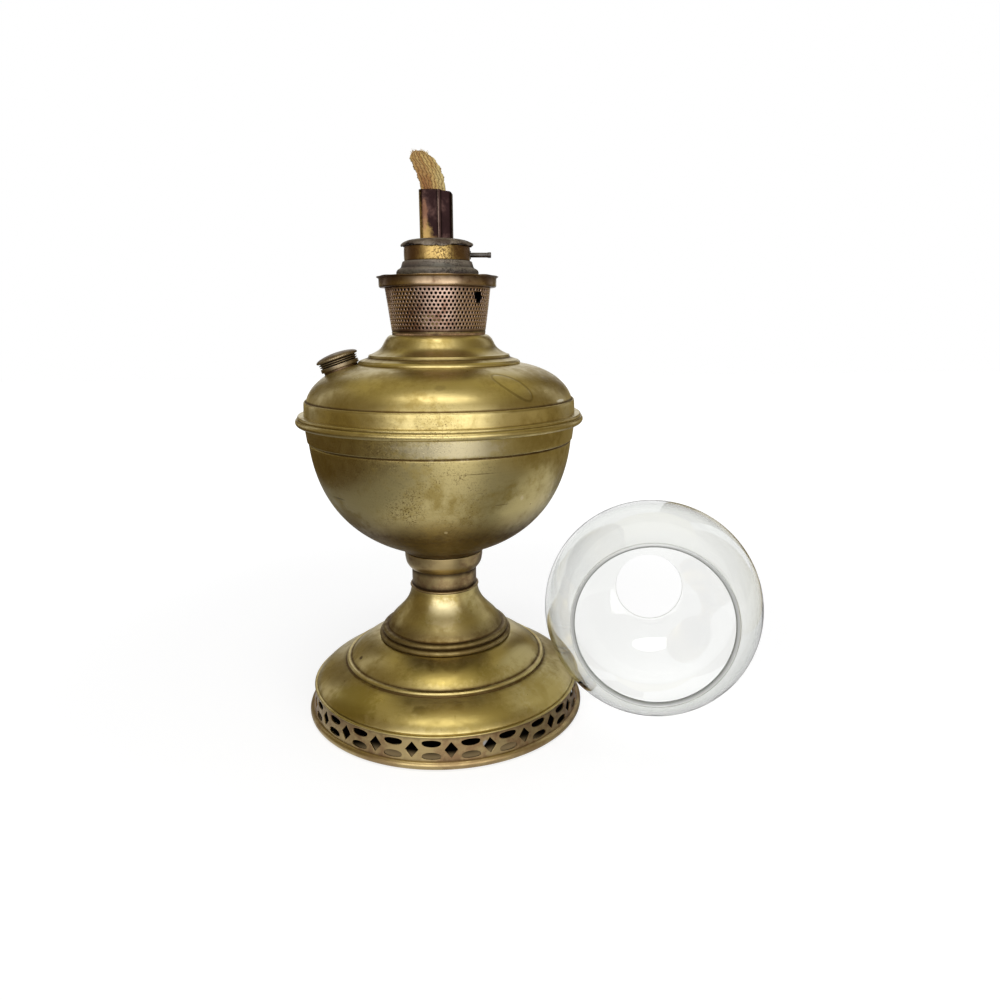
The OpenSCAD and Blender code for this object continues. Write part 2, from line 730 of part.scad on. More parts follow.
foot_ring();
base_dome();
stem();
stem_cup();
tie_rod();
tie_washer();
tie_nut();
font_bowl();
seam_ring();
font_top();
font_collar();
filler_neck();
filler_gasket();
filler_cap();
collar_washer();
burner_floor();
draft_basket();
gallery_rim();
air_plate();
burner_skirt();
burner_drum();
burner_crown();
wick_tube();
spindle_bushes();
wick_spindle();
wick_wheels();
wick();
glass_globe();
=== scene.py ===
import bmesh
import bpy
import numpy as np
from mathutils import Matrix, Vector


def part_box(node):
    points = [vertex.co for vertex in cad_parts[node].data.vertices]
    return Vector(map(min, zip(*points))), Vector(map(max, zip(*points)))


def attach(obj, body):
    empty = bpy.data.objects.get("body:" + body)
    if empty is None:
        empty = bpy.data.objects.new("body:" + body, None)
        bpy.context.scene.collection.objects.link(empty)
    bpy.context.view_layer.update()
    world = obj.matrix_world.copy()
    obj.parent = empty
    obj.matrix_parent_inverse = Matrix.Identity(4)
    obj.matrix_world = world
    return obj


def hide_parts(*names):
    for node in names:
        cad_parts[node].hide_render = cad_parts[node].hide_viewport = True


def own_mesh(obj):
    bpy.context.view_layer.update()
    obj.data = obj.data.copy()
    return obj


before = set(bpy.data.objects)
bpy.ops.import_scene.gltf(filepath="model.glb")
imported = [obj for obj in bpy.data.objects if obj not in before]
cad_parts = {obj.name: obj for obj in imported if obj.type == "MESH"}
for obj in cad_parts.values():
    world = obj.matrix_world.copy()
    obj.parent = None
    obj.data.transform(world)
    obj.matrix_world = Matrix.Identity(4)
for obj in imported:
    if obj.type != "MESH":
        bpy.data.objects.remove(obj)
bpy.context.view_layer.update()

mm = 0.001
weldGap = 1e-7  # points closer than this, in metres, become one
rng = np.random.default_rng(41)
print("frame loaded,", len(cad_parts), "nodes")


# ways to draw an outline, all in millimetres

def spanOf(node):
    # lowest and highest corner of a CAD node
    low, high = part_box(node)
    return np.array(low) / mm, np.array(high) / mm


def heightsOf(node):
    # lowest and highest level of a CAD node
    low, high = spanOf(node)
    return low[2], high[2]


def bezier(start, end, shape, steps=28):
    # cubic curve whose two handles are shares of the curve's width and height
    a, b = np.array(start, float), np.array(end, float)
    one = a + np.array(shape[:2]) * (b - a)
    two = a + np.array(shape[2:]) * (b - a)
    t = np.linspace(0, 1, steps + 1)[:, None]
    u = 1 - t
    return u ** 3 * a + 3 * u ** 2 * t * one + 3 * u * t ** 2 * two + t ** 3 * b


def arcOf(centre, radius, start, end, steps=14):
    # centre plus radius times (cosine, sine) from one angle to another, in degrees
    a = np.radians(np.linspace(start, end, steps + 1))
    return np.array(centre, float) + radius * np.stack([np.cos(a), np.sin(a)], 1)


def blurRows(rows, sigma, closed=False):
    # Gaussian blur down the rows; an open end is mirrored through its last point
    n = min(int(4 * sigma) + 1, len(rows) - 2)
    kernel = np.exp(-0.5 * (np.arange(-n, n + 1) / sigma) ** 2)
    kernel /= kernel.sum()
    if closed:
        longer = np.concatenate([rows[-n:], rows, rows[:n]])
    else:
        longer = np.concatenate([2 * rows[:1] - rows[n:0:-1], rows, 2 * rows[-1:] - rows[-2:-n - 2:-1]])
    return np.stack([np.convolve(longer[:, k], kernel, "valid") for k in range(rows.shape[1])], 1)


outlineRules = {"fine": 0.1, "finePoints": 40, "wearBlur": 1.0, "grimeFrom": 0.03, "grimeGain": 3.0,
                "rubFrom": 0.06, "rubGain": 2.2}


def softOutline(*runs, rounding=0.28, stepMax=2.4, turnMax=9, closed=False):
    # runs of points joined, sampled finely, corners rounded by a Gaussian blur, then thinned so that
    # a step is at most stepMax long and turns at most turnMax degrees; hollow bends collect grime
    # and proud bends are rubbed
    rules = outlineRules
    points = np.concatenate([np.atleast_2d(np.array(run, float)) for run in runs])
    if closed:
        points = np.concatenate([points, points[:1]])
    leg = np.linalg.norm(np.diff(points, axis=0), axis=1)
    points = points[np.r_[True, leg > 1e-6]]
    along = np.r_[0, np.cumsum(np.linalg.norm(np.diff(points, axis=0), axis=1))]
    fine = np.linspace(0, along[-1], max(rules["finePoints"], int(along[-1] / rules["fine"])) + 1)
    line = np.stack([np.interp(fine, along, points[:, k]) for k in (0, 1)], 1)
    step = fine[1]
    if closed:
        line = line[:-1]
    line = blurRows(line, rounding / step, closed)
    ahead = np.roll(line, -1, 0) - np.roll(line, 1, 0) if closed else np.gradient(line, axis=0)
    turn = np.gradient(np.unwrap(np.arctan2(ahead[:, 1], ahead[:, 0])))
    bend = blurRows((turn / step)[:, None], rules["wearBlur"] / step, closed)[:, 0]
    cost = np.r_[0, np.cumsum(step / stepMax + np.abs(turn[1:]) / np.radians(turnMax))]
    count = int(np.ceil(cost[-1])) + 2
    at = np.arange(len(line))
    pick = np.interp(np.linspace(0, cost[-1], count, endpoint=not closed), cost, at)
    thin = np.stack([np.interp(pick, at, line[:, k]) for k in (0, 1)], 1)
    bend = np.interp(pick, at, bend)
    grime = np.clip((-bend - rules["grimeFrom"]) * rules["grimeGain"], 0, 1)
    rub = np.clip((bend - rules["rubFrom"]) * rules["rubGain"], 0, 1)
    return thin, grime, rub


def ramp(x, start, over):
    # straight rise from nought at the start to one, over a distance
    return np.clip((x - start) / over, 0, 1)


def bellCurve(x, width):
    # one at nought, falling off as the exponential of minus the square
    return np.exp(-(x / width) ** 2)


def waves(theta, terms):
    # sum of sines, each with its size, its count and its start
    return sum(size * np.sin(count * theta + start) for size, count, start in terms)


def dirtied(outline, share):
    # the outline with at least this share of grime at each point
    line, grime, rub = outline
    return line, np.maximum(grime, share), rub


# ways to make a mesh from arrays

def gridFaces(rows, columns, wrapRows=False, wrapColumns=False):
    # quads of a grid of points, row by row
    i = np.arange(rows if wrapRows else rows - 1)[:, None]
    j = np.arange(columns if wrapColumns else columns - 1)[None, :]
    up, side = (i + 1) % rows, (j + 1) % columns
    corners = [i * columns + j, i * columns + side, up * columns + side, up * columns + j]
    return np.stack(corners, -1).reshape(-1, 4)


def copiedFaces(one, copies, points):
    # the faces of one shape repeated for each copy, each copy with its own run of points
    return (np.arange(copies)[:, None, None] * points + one[None]).reshape(-1, 4)


def polar(theta, r, z):
    # points at an angle round the lamp's axis, a radius and a height
    return np.stack([r * np.cos(theta), r * np.sin(theta), z], -1)


def meshOf(name, verts, faces, **fields):
    # mesh from millimetre points; fields become one number per point; touching points are merged
    mesh = bpy.data.meshes.new(name)
    mesh.from_pydata((np.asarray(verts) * mm).tolist(), [], np.asarray(faces).tolist(), shade_flat=False)
    for key, values in fields.items():
        mesh.attributes.new(key, "FLOAT", "POINT").data.foreach_set("value", np.asarray(values, np.float32))
    work = bmesh.new()
    work.from_mesh(mesh)
    bmesh.ops.remove_doubles(work, verts=work.verts, dist=weldGap)
    work.to_mesh(mesh)
    work.free()
    return mesh


def joined(*parts):
    # several sets as one: points first, faces second and counted on, one number per point after them
    offset = np.cumsum([0] + [len(p[0]) for p in parts[:-1]])
    verts, _, *fields = (np.concatenate(values) for values in zip(*parts))
    return (verts, np.concatenate([p[1] + o for p, o in zip(parts, offset)]), *fields)


spunRound = {"segments": 240, "fullR": 90, "twoLobes": 0.10, "twoTurn": 0.8, "threeLobes": 0.06,
             "threeTurn": 2.1}


def turnedSet(outline, segments=spunRound["segments"], closed=False, relief=None):
    # radius and height of the outline carried round the lamp's axis, seam at the back; every spun piece
    # shares the same slight out-of-roundness, a two-lobed and a three-lobed cosine that grow with radius
    line, grime, rub = outline
    theta = np.pi / 2 + np.arange(segments) * 2 * np.pi / segments
    r = np.repeat(line[:, :1], segments, 1)
    z = np.repeat(line[:, 1:], segments, 1)
    r = r + r / spunRound["fullR"] * (spunRound["twoLobes"] * np.cos(2 * theta + spunRound["twoTurn"])
                                      + spunRound["threeLobes"] * np.cos(3 * theta + spunRound["threeTurn"]))
    if relief is not None:
        r, z = relief(theta, r, z)
    faces = gridFaces(len(line), segments, closed, True)
    return polar(theta, r, z).reshape(-1, 3), faces, np.repeat(grime, segments), np.repeat(rub, segments)


def placed(parts, origin, axisX, axisZ):
    # a set moved into a turned frame: origin + x * axisX + y * (axisZ x axisX) + z * axisZ
    x, z = np.array(axisX, float), np.array(axisZ, float)
    return (np.array(origin, float) + parts[0] @ np.stack([x, np.cross(z, x), z]), *parts[1:])


def linked(name, data):
    # new object in the scene, at the origin
    thing = bpy.data.objects.new(name, data)
    bpy.context.scene.collection.objects.link(thing)
    return thing


def addPiece(name, parts, body, material, nodes=()):
    # object at the origin that rides on a CAD body
    verts, faces, grime, rub = parts
    mesh = meshOf(name, verts, faces, grime=grime, rub=rub)
    piece = linked(name, mesh)
    mesh.materials.append(material)
    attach(piece, body)
    if nodes:
        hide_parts(*nodes)
    return piece


wornEdge = {"segments": 2, "angleDeg": 50}


def thicken(piece, wall, inside=0, bevel=0):
    # sheet metal thickness inwards, with a small worn edge where asked
    sheet = piece.modifiers.new("wall", "SOLIDIFY")
    sheet.thickness = wall * mm
    sheet.offset = -1
    sheet.material_offset = inside
    if bevel:
        edge = piece.modifiers.new("edge", "BEVEL")
        edge.width = bevel * mm
        edge.segments = wornEdge["segments"]
        edge.limit_method = "ANGLE"
        edge.angle_limit = np.radians(wornEdge["angleDeg"])
    return piece


# shader helpers

def put(tree, kind, inputs=None, **settings):
    # one shader node with its settings and inputs; a socket is linked, a value is set
    node = tree.nodes.new("ShaderNode" + kind)
    for key, value in settings.items():
        setattr(node, key, value)
    for key, value in (inputs or {}).items():
        if isinstance(value, bpy.types.NodeSocket):
            tree.links.new(value, node.inputs[key])
        else:
            node.inputs[key].default_value = value
    return node


def calc(tree, operation, *values, clamp=False):
    # one math node
    return put(tree, "Math", dict(enumerate(values)), operation=operation, use_clamp=clamp).outputs[0]


def plus(tree, a, b):
    # one number plus another
    return calc(tree, "ADD", a, b)


def minus(tree, a, b, clamp=False):
    # one number less another
    return calc(tree, "SUBTRACT", a, b, clamp=clamp)


def times(tree, a, b, clamp=False):
    # one number times another
    return calc(tree, "MULTIPLY", a, b, clamp=clamp)


def larger(tree, a, b):
    # the larger of two numbers
    return calc(tree, "MAXIMUM", a, b)


def vectorCalc(tree, operation, *values):
    # one vector math node; a length, a distance and a dot product are single numbers
    node = put(tree, "VectorMath", dict(enumerate(values)), operation=operation)
    return node.outputs["Value" if operation in ("LENGTH", "DISTANCE", "DOT_PRODUCT") else "Vector"]


def ease(tree, value, low, high, toLow=0.0, toHigh=1.0):
    # smooth step from low to high
    return put(tree, "MapRange", {0: value, 1: low, 2: high, 3: toLow, 4: toHigh},
               interpolation_type="SMOOTHSTEP").outputs[0]


def mixColour(tree, share, a, b):
    # share of the way from one colour to another; a plain colour is three numbers
    ends = {6: a, 7: b}
    plain = {key: value + (1,) for key, value in ends.items() if isinstance(value, tuple)}
    return put(tree, "Mix", {0: share, **ends, **plain}, data_type="RGBA").outputs[2]


def noise(tree, vector, scale, detail=4.0, rough=0.55, distortion=0.0):
    # cloudy noise around one half
    return put(tree, "TexNoise", {"Vector": vector, "Scale": scale, "Detail": detail, "Roughness": rough,
                                  "Distortion": distortion}).outputs["Fac"]


def objectPlace(tree):
    # place on the piece, in metres from the lamp's origin
    return put(tree, "TexCoord").outputs["Object"]


def splitOf(tree, vector):
    # x, y and z of a place
    return put(tree, "SeparateXYZ", {0: vector}).outputs


def axisDistance(tree, split):
    # length of the flat part of a place: its distance from the lamp's axis
    return vectorCalc(tree, "LENGTH", put(tree, "CombineXYZ", {0: split[0], 1: split[1]}).outputs[0])


def fieldOf(tree, name):
    # a number that the mesh carries for each point
    return put(tree, "Attribute", attribute_name=name).outputs["Fac"]


def newGroup(name, inputs, outputs):
    # node group with named sockets; an input is (name, socket type, start value)
    tree = bpy.data.node_groups.new(name, "ShaderNodeTree")
    for label, kind, start in inputs:
        socket = tree.interface.new_socket(label, in_out="INPUT", socket_type="NodeSocket" + kind)
        socket.default_value = start
    for label, kind in outputs:
        tree.interface.new_socket(label, in_out="OUTPUT", socket_type="NodeSocket" + kind)
    return tree, tree.nodes.new("NodeGroupInput").outputs, tree.nodes.new("NodeGroupOutput").inputs


def newMaterial(name):
    # empty node material with its output
    material = bpy.data.materials.new(name)
    material.use_nodes = True
    tree = material.node_tree
    tree.nodes.clear()
    return material, tree, put(tree, "OutputMaterial")


def reliefOf(tree, strength, depth, height):
    # normal of a bump whose depth is in millimetres
    return put(tree, "Bump", {"Strength": strength, "Distance": depth * mm, "Height": height}).outputs[0]


def coated(tree, end, inputs):
    # principled surface on the material's output
    tree.links.new(put(tree, "BsdfPrincipled", inputs).outputs[0], end.inputs["Surface"])


# aged metal: noise scales per metre, then the shares and ranges that shape each kind of wear

wear = {"blotchScale": 27.0, "mottleScale": 170.0, "grainScale": 2400.0, "spunScale": 1300.0,
        "patchScale": 42.0, "pitScale": 1250.0, "sandScale": 1050.0, "markScale": 330.0,
        "blotch": 0.68, "mottle": 0.32, "tarnishFrom": 0.58, "tarnishReach": 0.24, "tarnishSoft": 0.15,
        "grimeFill": 0.75, "rubFill": 0.1, "pitNear": (0.02, 0.065), "pitsAway": 0.1,
        "pitPatch": (0.44, 0.64), "pitFill": 0.35, "pitRarity": 2.5, "pitSize": 0.62, "pitEdge": 7.0,
        "sandRange": (0.53, 0.66), "sand": 0.6, "spunRange": (0.42, 0.72), "spun": 0.3, "rub": 0.8,
        "grime": 0.85, "pit": 0.6, "mottleRough": 0.3, "tarnishRough": 0.08, "dirtRough": 0.2,
        "roughMost": 0.9, "grainHeight": 0.18, "mottleHeight": 0.25, "spunHeight": 0.3, "bumpDepth": 0.3,
        "markBlur": (0.45, 1.0), "markFuzz": 1.1, "ovalDepth": 1.5}


def makeAgedMetal():
    # patches of tarnish, spun rings, fine pits, grime in hollows and rubbed proud edges
    tree, given, result = newGroup("agedMetal", [
        ("Clean", "Color", (0.5, 0.4, 0.15, 1)), ("Tarnish", "Color", (0.2, 0.13, 0.05, 1)),
        ("Grime", "Color", (0.04, 0.03, 0.015, 1)), ("Patches", "Float", 0.5), ("Pits", "Float", 0.5),
        ("Pit centre", "Vector", (0, -0.09, 0.165)), ("Spun", "Float", 0.5), ("Satin", "Float", 0.35)],
        [("Color", "Color"), ("Roughness", "Float"), ("Height", "Float")])
    place = objectPlace(tree)
    split = splitOf(tree, place)
    ring = put(tree, "CombineXYZ", {0: axisDistance(tree, split), 2: split[2]}).outputs[0]
    blotch = noise(tree, place, wear["blotchScale"], 5.0, 0.58, 0.5)
    mottle = noise(tree, place, wear["mottleScale"], 6.0, 0.68)
    grain = noise(tree, place, wear["grainScale"], 2.0)
    spun = noise(tree, ring, wear["spunScale"], 3.0, 0.6)
    # tarnish starts lower in the clouds where there are to be more patches
    clouds = plus(tree, times(tree, blotch, wear["blotch"]), times(tree, mottle, wear["mottle"]))
    low = calc(tree, "MULTIPLY_ADD", given["Patches"], -wear["tarnishReach"], wear["tarnishFrom"])
    tarnish = ease(tree, clouds, low, plus(tree, low, wear["tarnishSoft"]))
    # the grime field holds grime in hollows, and on the bowl's underside a painted dark reflection
    grime = times(tree, fieldOf(tree, "grime"), plus(tree, mottle, wear["grimeFill"]), clamp=True)
    # the rub field holds rubbed proud edges, and along the wick tube's lap also a painted highlight
    rub = times(tree, fieldOf(tree, "rub"), plus(tree, mottle, wear["rubFill"]), clamp=True)
    # pits: small spots round cell centres, most of them near the pit centre, with sandy dirt among them
    cells = put(tree, "TexVoronoi", {"Vector": place, "Scale": wear["pitScale"]})
    chance = put(tree, "SeparateColor", {0: cells.outputs["Color"]}).outputs[0]
    near = ease(tree, vectorCalc(tree, "DISTANCE", place, given["Pit centre"]), *wear["pitNear"], 1.0, 0.0)
    near = plus(tree, times(tree, near, 1 - wear["pitsAway"]), wear["pitsAway"])
    patchy = ease(tree, noise(tree, place, wear["patchScale"], 3.0), *wear["pitPatch"])
    region = times(tree, times(tree, near, plus(tree, patchy, wear["pitFill"])), given["Pits"])
    size = times(tree, times(tree, calc(tree, "POWER", chance, wear["pitRarity"]), wear["pitSize"]), region)
    pit = times(tree, minus(tree, size, cells.outputs["Distance"]), wear["pitEdge"], clamp=True)
    sandy = ease(tree, noise(tree, place, wear["sandScale"], 2.0, 0.6), *wear["sandRange"])
    sand = times(tree, sandy, times(tree, region, wear["sand"]), clamp=True)
    lines = times(tree, ease(tree, spun, *wear["spunRange"]), times(tree, given["Spun"], wear["spun"]))
    colour = mixColour(tree, tarnish, given["Clean"], given["Tarnish"])
    colour = mixColour(tree, lines, colour, given["Tarnish"])
    colour = mixColour(tree, times(tree, rub, wear["rub"]), colour, given["Clean"])
    colour = mixColour(tree, times(tree, grime, wear["grime"]), colour, given["Grime"])
    colour = mixColour(tree, larger(tree, times(tree, pit, wear["pit"]), sand), colour, given["Grime"])
    tree.links.new(colour, result["Color"])
    rough = plus(tree, given["Satin"], times(tree, minus(tree, mottle, 0.5), wear["mottleRough"]))
    rough = plus(tree, rough, times(tree, tarnish, wear["tarnishRough"]))
    rough = plus(tree, rough, times(tree, plus(tree, grime, pit), wear["dirtRough"]))
    tree.links.new(calc(tree, "MINIMUM", rough, wear["roughMost"]), result["Roughness"])
    height = plus(tree, times(tree, grain, wear["grainHeight"]), times(tree, mottle, wear["mottleHeight"]))
    height = plus(tree, height, times(tree, times(tree, spun, given["Spun"]), wear["spunHeight"]))
    tree.links.new(minus(tree, height, pit), result["Height"])
    return tree


agedMetal = makeAgedMetal()


def fromMark(tree, place, centre):
    # place measured from a mark's centre, which is in millimetres
    return vectorCalc(tree, "SUBTRACT", place, tuple(c * mm for c in centre))


def spotShare(tree, place, fuzz, centre, reach):
    # one inside an ellipsoid with a blurred, uneven edge; centre and half sizes in millimetres
    away = vectorCalc(tree, "DIVIDE", fromMark(tree, place, centre), tuple(r * mm for r in reach))
    return ease(tree, plus(tree, vectorCalc(tree, "LENGTH", away), fuzz), *wear["markBlur"], 1.0, 0.0)


def ovalShare(tree, place, oval):
    # one between two flat ovals, half a line inside and half a line outside the half axes
    away = fromMark(tree, place, oval["centre"])
    far = []
    for grow in (oval["line"] / 2, -oval["line"] / 2):
        across = []
        for axis in oval["axes"]:
            length = np.linalg.norm(axis)
            share = tuple(float(a / length / (length + grow) / mm) for a in axis)
            across.append(vectorCalc(tree, "DOT_PRODUCT", away, share))
        far.append(axisDistance(tree, across))
    return times(tree, ease(tree, far[0], 0.9, 1.0, 1.0, 0.0), ease(tree, far[1], 1.0, 1.1))


def metalFinish(name, clean, tarnish, grime, patches, pits, spun, satin, metallic=1.0, bump=0.25,
                pitCentre=(0, -0.09, 0.165), spots=(), oval=None):
    # a metal whose colour, roughness and bump come from the aged metal group, with single marks over it, some
    # of them painted highlights and painted shade
    material, tree, end = newMaterial(name)
    aged = put(tree, "Group", node_tree=agedMetal)
    for key, value in (("Clean", clean + (1,)), ("Tarnish", tarnish + (1,)), ("Grime", grime + (1,)),
                       ("Patches", patches), ("Pits", pits), ("Pit centre", pitCentre), ("Spun", spun),
                       ("Satin", satin)):
        aged.inputs[key].default_value = value
    colour, height = aged.outputs["Color"], aged.outputs["Height"]
    if spots or oval:
        place = objectPlace(tree)
        uneven = minus(tree, noise(tree, place, wear["markScale"], 3.0, 0.65), 0.5)
        fuzz = times(tree, uneven, wear["markFuzz"])
    for centre, reach, tint, share in spots:
        spot = spotShare(tree, place, fuzz, centre, reach)
        colour = mixColour(tree, times(tree, spot, share), colour, tint)
    if oval:
        ring = ovalShare(tree, place, oval)
        colour = mixColour(tree, times(tree, ring, oval["share"]), colour, oval["colour"])
        height = minus(tree, height, times(tree, ring, wear["ovalDepth"]))
    coated(tree, end, {"Base Color": colour, "Roughness": aged.outputs["Roughness"], "Metallic": metallic,
                       "Normal": reliefOf(tree, bump, wear["bumpDepth"], height)})
    return material


# single marks on the metal, stains and wear together with painted highlights and painted shade: centre, half
# sizes, colour and share
darkMark = (0.085, 0.055, 0.02)
paleDot = (0.58, 0.49, 0.30)
rimShadeBrown = (0.085, 0.042, 0.021)
drumShadeBrown = (0.13, 0.07, 0.035)
brassMarksAndPaintedLight = [
    ((20.0, -80.5, 176.0), (14.0, 6.0, 0.4), darkMark, 0.6),
    ((33.5, -69.5, 155.5), (7.0, 5.0, 0.45), darkMark, 0.5),
    ((46.4, -63.1, 157.7), (1.7, 1.7, 2.3), paleDot, 0.7),
    # painted glint: a small bright dot on the bowl's lower front
    ((1.5, -67.7, 138.9), (1.4, 1.4, 1.4), paleDot, 0.7),
    ((-62.5, -46.0, 156.2), (8.0, 11.0, 0.7), darkMark, 0.7),
    ((-56.6, -21.4, 40.9), (1.8, 2.4, 1.8), darkMark, 0.9),
    ((-16.6, -75.6, 30.0), (6.5, 5.0, 3.6), (0.13, 0.09, 0.025), 0.6),
    ((4.4, -80.9, 27.9), (0.6, 1.6, 3.0), darkMark, 0.7),
    # painted shade: the lower dome's left side darker
    ((-60.0, -56.0, 26.5), (26.0, 26.0, 12.0), (0.30, 0.23, 0.05), 0.75),
    ((-0.1, -75.3, 223.4), (4.0, 4.0, 2.4), darkMark, 0.25),
    # painted highlight: a near white streak at the right end of the font's top edge
    ((71.0, -44.5, 212.4), (6.5, 7.5, 1.0), (0.90, 0.86, 0.74), 0.85),
    # painted highlight: a pale patch on the front of the stem's bell
    ((-1.0, -28.0, 73.0), (15.0, 12.0, 13.0), (0.66, 0.58, 0.36), 0.6),
    # painted shade: the base's upper dome darker in front
    ((2.0, -57.0, 44.0), (46.0, 16.0, 8.0), (0.30, 0.232, 0.066), 0.85),
    # painted shade: the lower dome darker in front
    ((8.0, -80.0, 27.0), (52.0, 16.0, 9.0), (0.34, 0.265, 0.085), 0.75),
    # painted highlight: a pale band across the front of the font's band
    ((10.0, -86.0, 190.5), (48.0, 14.0, 7.0), (0.64, 0.57, 0.40), 0.55),
    # painted dark reflection on the bowl's underside
    ((0.0, -30.0, 126.0), (56.0, 48.0, 14.0), (0.20, 0.135, 0.03), 0.6),
    # painted shade: the bowl's left side darker and browner
    ((-76.0, -34.0, 165.0), (22.0, 40.0, 34.0), (0.42, 0.325, 0.075), 0.6),
    # painted shade: the lower dome's right side darker
    ((64.0, -54.0, 26.5), (28.0, 28.0, 12.0), (0.38, 0.285, 0.075), 0.6)]
bandSpots = [((22.5, -87.5, 13.6), (2.4, 2.6, 2.6), (0.33, 0.33, 0.33), 0.9)]
# painted shade: the gallery rim darker brown on its left and right
rimShadeSpots = [((-31, -22, 283), (15, 17, 9), rimShadeBrown, 0.7), ((33, -18, 283), (11, 15, 9), rimShadeBrown, 0.7)]
skirtSpots = [
    ((-15, -16, 287), (14, 12, 2.5), (0.10, 0.085, 0.055), 0.6),
    ((12, -20, 286), (12, 8, 2.5), (0.08, 0.055, 0.05), 0.6),
    ((3, -22, 291), (9, 5, 2.2), (0.17, 0.16, 0.13), 0.5),
    ((-8, -22, 293), (8, 5, 1.5), (0.07, 0.055, 0.045), 0.6)]
crownSpots = [
    ((3, -21, 305), (9, 5, 2.6), (0.055, 0.032, 0.022), 0.85),
    ((-17, -14, 305), (7, 7, 2.4), (0.045, 0.028, 0.02), 0.8),
    ((17, -14, 306), (6, 7, 2.4), (0.06, 0.04, 0.03), 0.6),
    ((-9, -15, 307.5), (6, 4, 2.0), (0.22, 0.19, 0.15), 0.6)]
# painted shade: the drum brown on its left, right and back, leaving its front gold
drumShadeSpots = [
    ((-19, -9, 299), (15.5, 18, 16), drumShadeBrown, 0.88),
    ((19, -9, 299), (16, 18, 16), drumShadeBrown, 0.88),
    ((0, 21, 299), (26, 22, 16), drumShadeBrown, 0.8)]
# wick tube: worn patches low on the front, and painted highlights down its left end, along the lap's edge and
# down its right end
tubeMarksAndHighlights = [
    ((-10.4, 0, 316), (3.2, 5.0, 26.0), (0.44, 0.31, 0.12), 0.85),
    ((-6.6, -3.2, 309), (4.8, 3.0, 12.0), (0.36, 0.235, 0.08), 0.6),
    ((-2.5, -3.2, 303), (6.5, 3.0, 8.0), (0.24, 0.14, 0.055), 0.6),
    ((-7.2, -3.2, 322), (2.6, 3.0, 11.0), (0.20, 0.10, 0.06), 0.55),
    ((1.25, -3.5, 320), (0.5, 1.5, 24.0), (0.26, 0.18, 0.15), 0.6),
    ((9.9, -1.0, 318), (0.9, 2.5, 26.0), (0.20, 0.17, 0.17), 0.7)]
plainOval = {"centre": (41.2, -62.8, 223.5), "axes": ((11.8, -2.2, -5.7), (2.7, 5.6, 2.4)), "line": 2.6,
             "share": 0.6, "colour": (0.20, 0.145, 0.045)}

metals = {
    "brass": {"name": "lampBrass", "clean": (0.49, 0.40, 0.178), "tarnish": (0.35, 0.265, 0.088),
              "grime": (0.066, 0.030, 0.008), "patches": 0.5, "pits": 0.9, "spun": 0.6, "satin": 0.33,
              "pitCentre": (-0.012, -0.082, 0.165), "spots": brassMarksAndPaintedLight, "oval": plainOval},
    "bandBrass": {"name": "footBandBrass", "clean": (0.39, 0.295, 0.14), "tarnish": (0.225, 0.142, 0.072),
                  "grime": (0.035, 0.02, 0.01), "patches": 0.6, "pits": 0.5, "spun": 0.4, "satin": 0.34,
                  "spots": bandSpots},
    "rimBrass": {"name": "galleryBrass", "clean": (0.335, 0.242, 0.152), "tarnish": (0.135, 0.068, 0.034),
                 "grime": (0.02, 0.01, 0.007), "patches": 0.5, "pits": 0.3, "spun": 0.6, "satin": 0.30,
                 "spots": rimShadeSpots},
    "darkBrass": {"name": "darkBrass", "clean": (0.30, 0.23, 0.11), "tarnish": (0.12, 0.08, 0.04),
                  "grime": (0.02, 0.014, 0.01), "patches": 0.7, "pits": 0.3, "spun": 0.3, "satin": 0.42},
    "capBrass": {"name": "fillerCapBrass", "clean": (0.37, 0.31, 0.20), "tarnish": (0.15, 0.10, 0.062),
                 "grime": (0.010, 0.007, 0.005), "patches": 0.72, "pits": 0.5, "spun": 0.3, "satin": 0.36},
    "copper": {"name": "basketCopper", "clean": (0.475, 0.335, 0.265), "tarnish": (0.215, 0.118, 0.078),
               "grime": (0.03, 0.018, 0.014), "patches": 0.5, "pits": 0.3, "spun": 0.2, "satin": 0.30},
    "soot": {"name": "sootedCopper", "clean": (0.03, 0.02, 0.016), "tarnish": (0.02, 0.014, 0.01),
             "grime": (0.01, 0.008, 0.006), "patches": 0.6, "pits": 0.0, "spun": 0.1, "satin": 0.7,
             "metallic": 0.2},
    "oxide": {"name": "skirtOxide", "clean": (0.21, 0.178, 0.138), "tarnish": (0.09, 0.063, 0.049),
              "grime": (0.03, 0.022, 0.017), "patches": 0.66, "pits": 1.3, "spun": 0.3, "satin": 0.5,
              "metallic": 0.3, "bump": 1.0, "pitCentre": (0, -0.02, 0.29), "spots": skirtSpots},
    "crown": {"name": "crownOxide", "clean": (0.198, 0.160, 0.122), "tarnish": (0.065, 0.043, 0.032),
              "grime": (0.018, 0.012, 0.009), "patches": 0.6, "pits": 1.3, "spun": 0.3, "satin": 0.5,
              "metallic": 0.35, "bump": 0.9, "pitCentre": (0, -0.018, 0.306), "spots": crownSpots},
    "drum": {"name": "drumBrass", "clean": (0.395, 0.272, 0.096), "tarnish": (0.25, 0.14, 0.06),
             "grime": (0.05, 0.025, 0.012), "patches": 0.5, "pits": 1.5, "spun": 0.4, "satin": 0.38,
             "pitCentre": (0, -0.02, 0.299), "spots": drumShadeSpots},
    "tube": {"name": "tubeOxide", "clean": (0.06, 0.033, 0.028), "tarnish": (0.016, 0.008, 0.008),
             "grime": (0.005, 0.003, 0.003), "patches": 0.75, "pits": 0.3, "spun": 0.2, "satin": 0.32,
             "spots": tubeMarksAndHighlights},
    "steel": {"name": "dullSteel", "clean": (0.08, 0.075, 0.07), "tarnish": (0.04, 0.035, 0.03),
              "grime": (0.012, 0.01, 0.009), "patches": 0.5, "pits": 0.4, "spun": 0.2, "satin": 0.38}}
finishes = {key: metalFinish(**metal) for key, metal in metals.items()}

